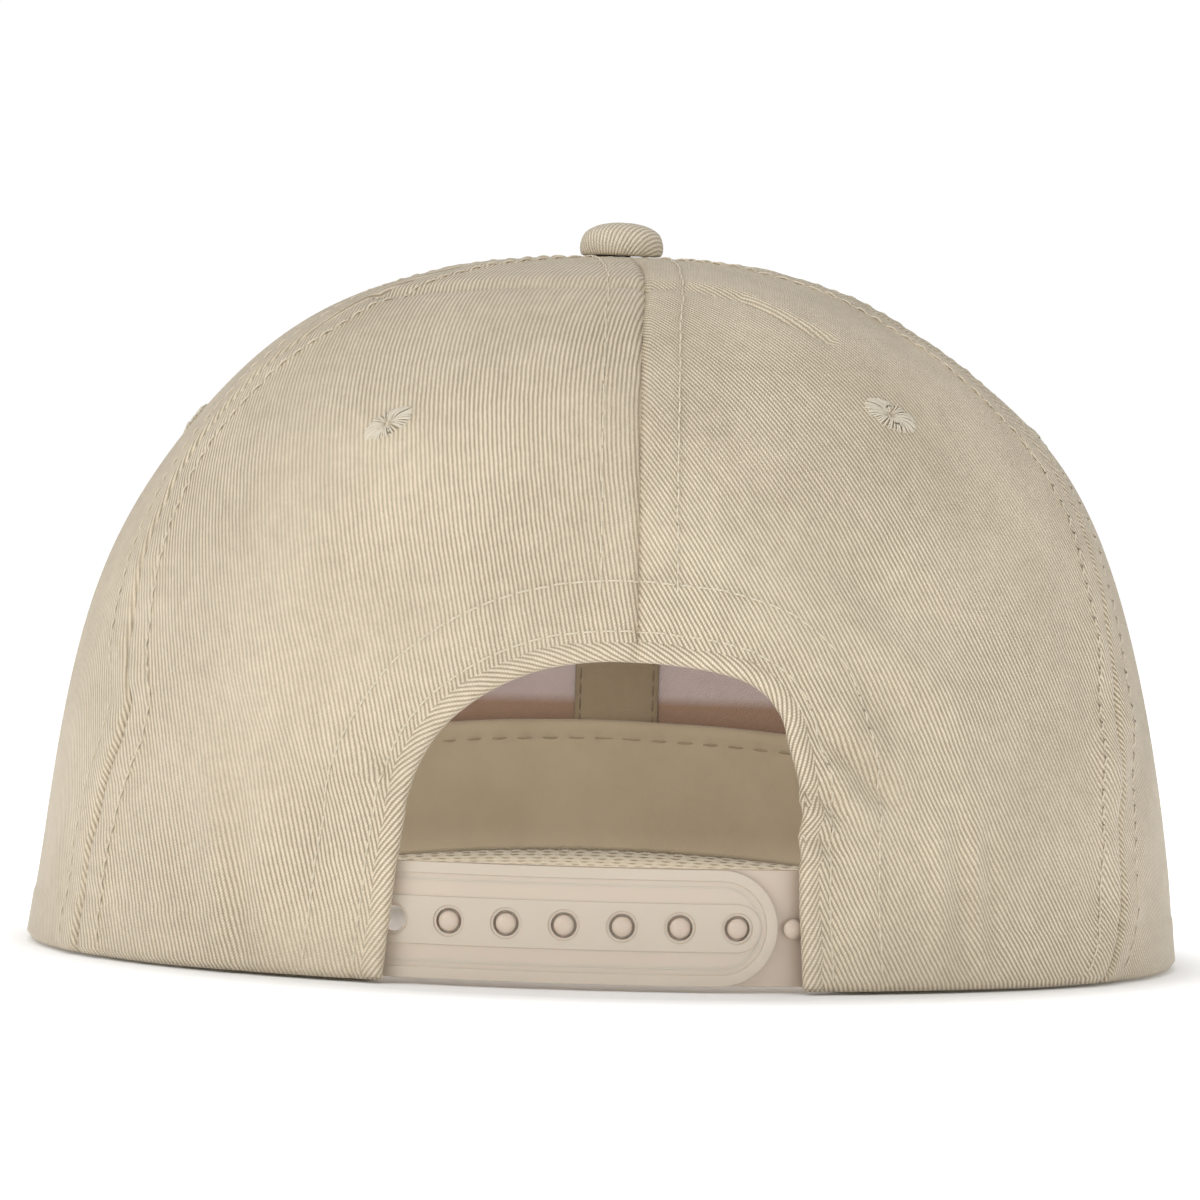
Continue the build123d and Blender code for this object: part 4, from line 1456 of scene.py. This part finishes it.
def across_hinge(obj, nodes):
    """Hide the frame's strap nodes and bake the strap's placement into its mesh."""
    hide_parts(*nodes)
    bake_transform(obj)


across_hinge(outer_strap(), ("hole_strap", "hole_strap_tab"))
across_hinge(inner_strap(), ("peg_strap", "peg_strap_tab"))


# ---------------------------------------------------------------- hidden frame nodes

for name in ("button_shell", "button_tack"):
    node = bpy.data.objects.get(name)
    if node:
        node.data.materials.clear()
        node.data.materials.append(STEEL)


# ---------------------------------------------------------------- camera, light and floor


def camera():
    """A long lens behind the cap, a little above its hem, as the product shot was framed."""
    distance, per_mm, sensor, image_width = 1300.0, 5.621, 36.0, 1200
    yaw, lift, roll = (math.radians(a) for a in (1.6, 2.0, 1.585))
    right = np.array([-math.cos(yaw), math.sin(yaw), 0])
    back = np.array([math.cos(lift) * math.sin(yaw), math.cos(lift) * math.cos(yaw), math.sin(lift)])
    up = np.array([-math.sin(lift) * math.sin(yaw), -math.sin(lift) * math.cos(yaw), math.cos(lift)])
    aside, above = 10.8 / per_mm, 11.6 / per_mm
    turned_right = math.cos(roll) * right + math.sin(roll) * up
    turned_up = -math.sin(roll) * right + math.cos(roll) * up
    spot = np.array([0, 0, 60.0]) + back * distance - turned_right * aside + turned_up * above
    data = bpy.data.cameras.new("camera")
    data.sensor_width = sensor
    data.lens = sensor * per_mm * distance / image_width
    data.clip_end = 50
    obj = new_object("camera", data)
    matrix = np.eye(4)
    matrix[:3, 0], matrix[:3, 1], matrix[:3, 2], matrix[:3, 3] = turned_right, turned_up, back, spot * MM
    obj.matrix_world = Matrix(matrix.tolist())
    bpy.context.scene.camera = obj


def area(name, place, target, size, power, colour=(1, 1, 1)):
    """A soft rectangular light aimed at a point."""
    data = bpy.data.lights.new(name, "AREA")
    data.shape = "RECTANGLE"
    data.size, data.size_y = size
    data.energy = power
    data.color = colour
    obj = new_object(name, data)
    place, target = Vector(place), Vector(target)
    obj.location = place
    obj.rotation_euler = (target - place).to_track_quat("-Z", "Y").to_euler()


def studio():
    """Pale floor that glows away from the cap as painted light, a white backdrop, and soft light mostly
    from the camera's left.
    """
    points = [(-3, -3, 0), (3, -3, 0), (3, 3, 0), (-3, 3, 0)]
    mesh = bpy.data.meshes.new("floor")
    mesh.from_pydata(points, [], [[0, 1, 2, 3]])
    floor = new_object("floor", mesh)
    floor.location.z = -0.0006
    n = Nodes("pale_floor")
    n.set(Base_Color=(0.93, 0.93, 0.93, 1.0), Roughness=0.7, Specular_IOR_Level=0.2)
    here = n.here()
    far = n.node("ShaderNodeVectorMath", operation="LENGTH")
    n.put(far.inputs[0], here)
    # Painted light: the floor glows, not at all within about 93 mm of the cap's centre and fully from about
    # 122 mm out, which whitens it round the cap and lights the cap from below.
    glow = n.clamp(n.math("MULTIPLY_ADD", far.outputs["Value"], 34.0, -3.15))
    n.set(Emission_Color=(1.0, 1.0, 1.0, 1.0), Emission_Strength=n.math("MULTIPLY", glow, 0.65))
    mesh.materials.append(n.material)
    world = bpy.data.worlds.new("studio")
    world.use_nodes = True
    tree = world.node_tree
    tree.nodes["Background"].inputs[0].default_value = (1, 1, 1, 1)
    seen = tree.nodes.new("ShaderNodeLightPath").outputs["Is Camera Ray"]
    strength = tree.nodes.new("ShaderNodeMath")
    strength.operation = "MULTIPLY_ADD"
    strength.inputs[1].default_value = 0.6
    strength.inputs[2].default_value = 0.42
    tree.links.new(seen, strength.inputs[0])
    tree.links.new(strength.outputs[0], tree.nodes["Background"].inputs[1])
    bpy.context.scene.world = world
    area("key_left", (1.1, 0.85, 0.7), (0, 0, 0.06), (0.9, 0.7), 8.2)
    area("rim_right", (-1.0, 0.8, 0.5), (0, 0, 0.06), (0.45, 0.6), 1.9)
    area("top", (0.1, 0.1, 1.2), (0, 0, 0.08), (0.8, 0.8), 3.9)
    area("low", (-0.35, 1.3, 0.06), (0, 0, 0.03), (1.2, 0.3), 2.8)
    area("inside", (0.01, 0.05, 0.085), (0, -0.08, 0.03), (0.05, 0.02), 0.080)


camera()
studio()
bpy.context.scene.view_settings.view_transform = "Standard"
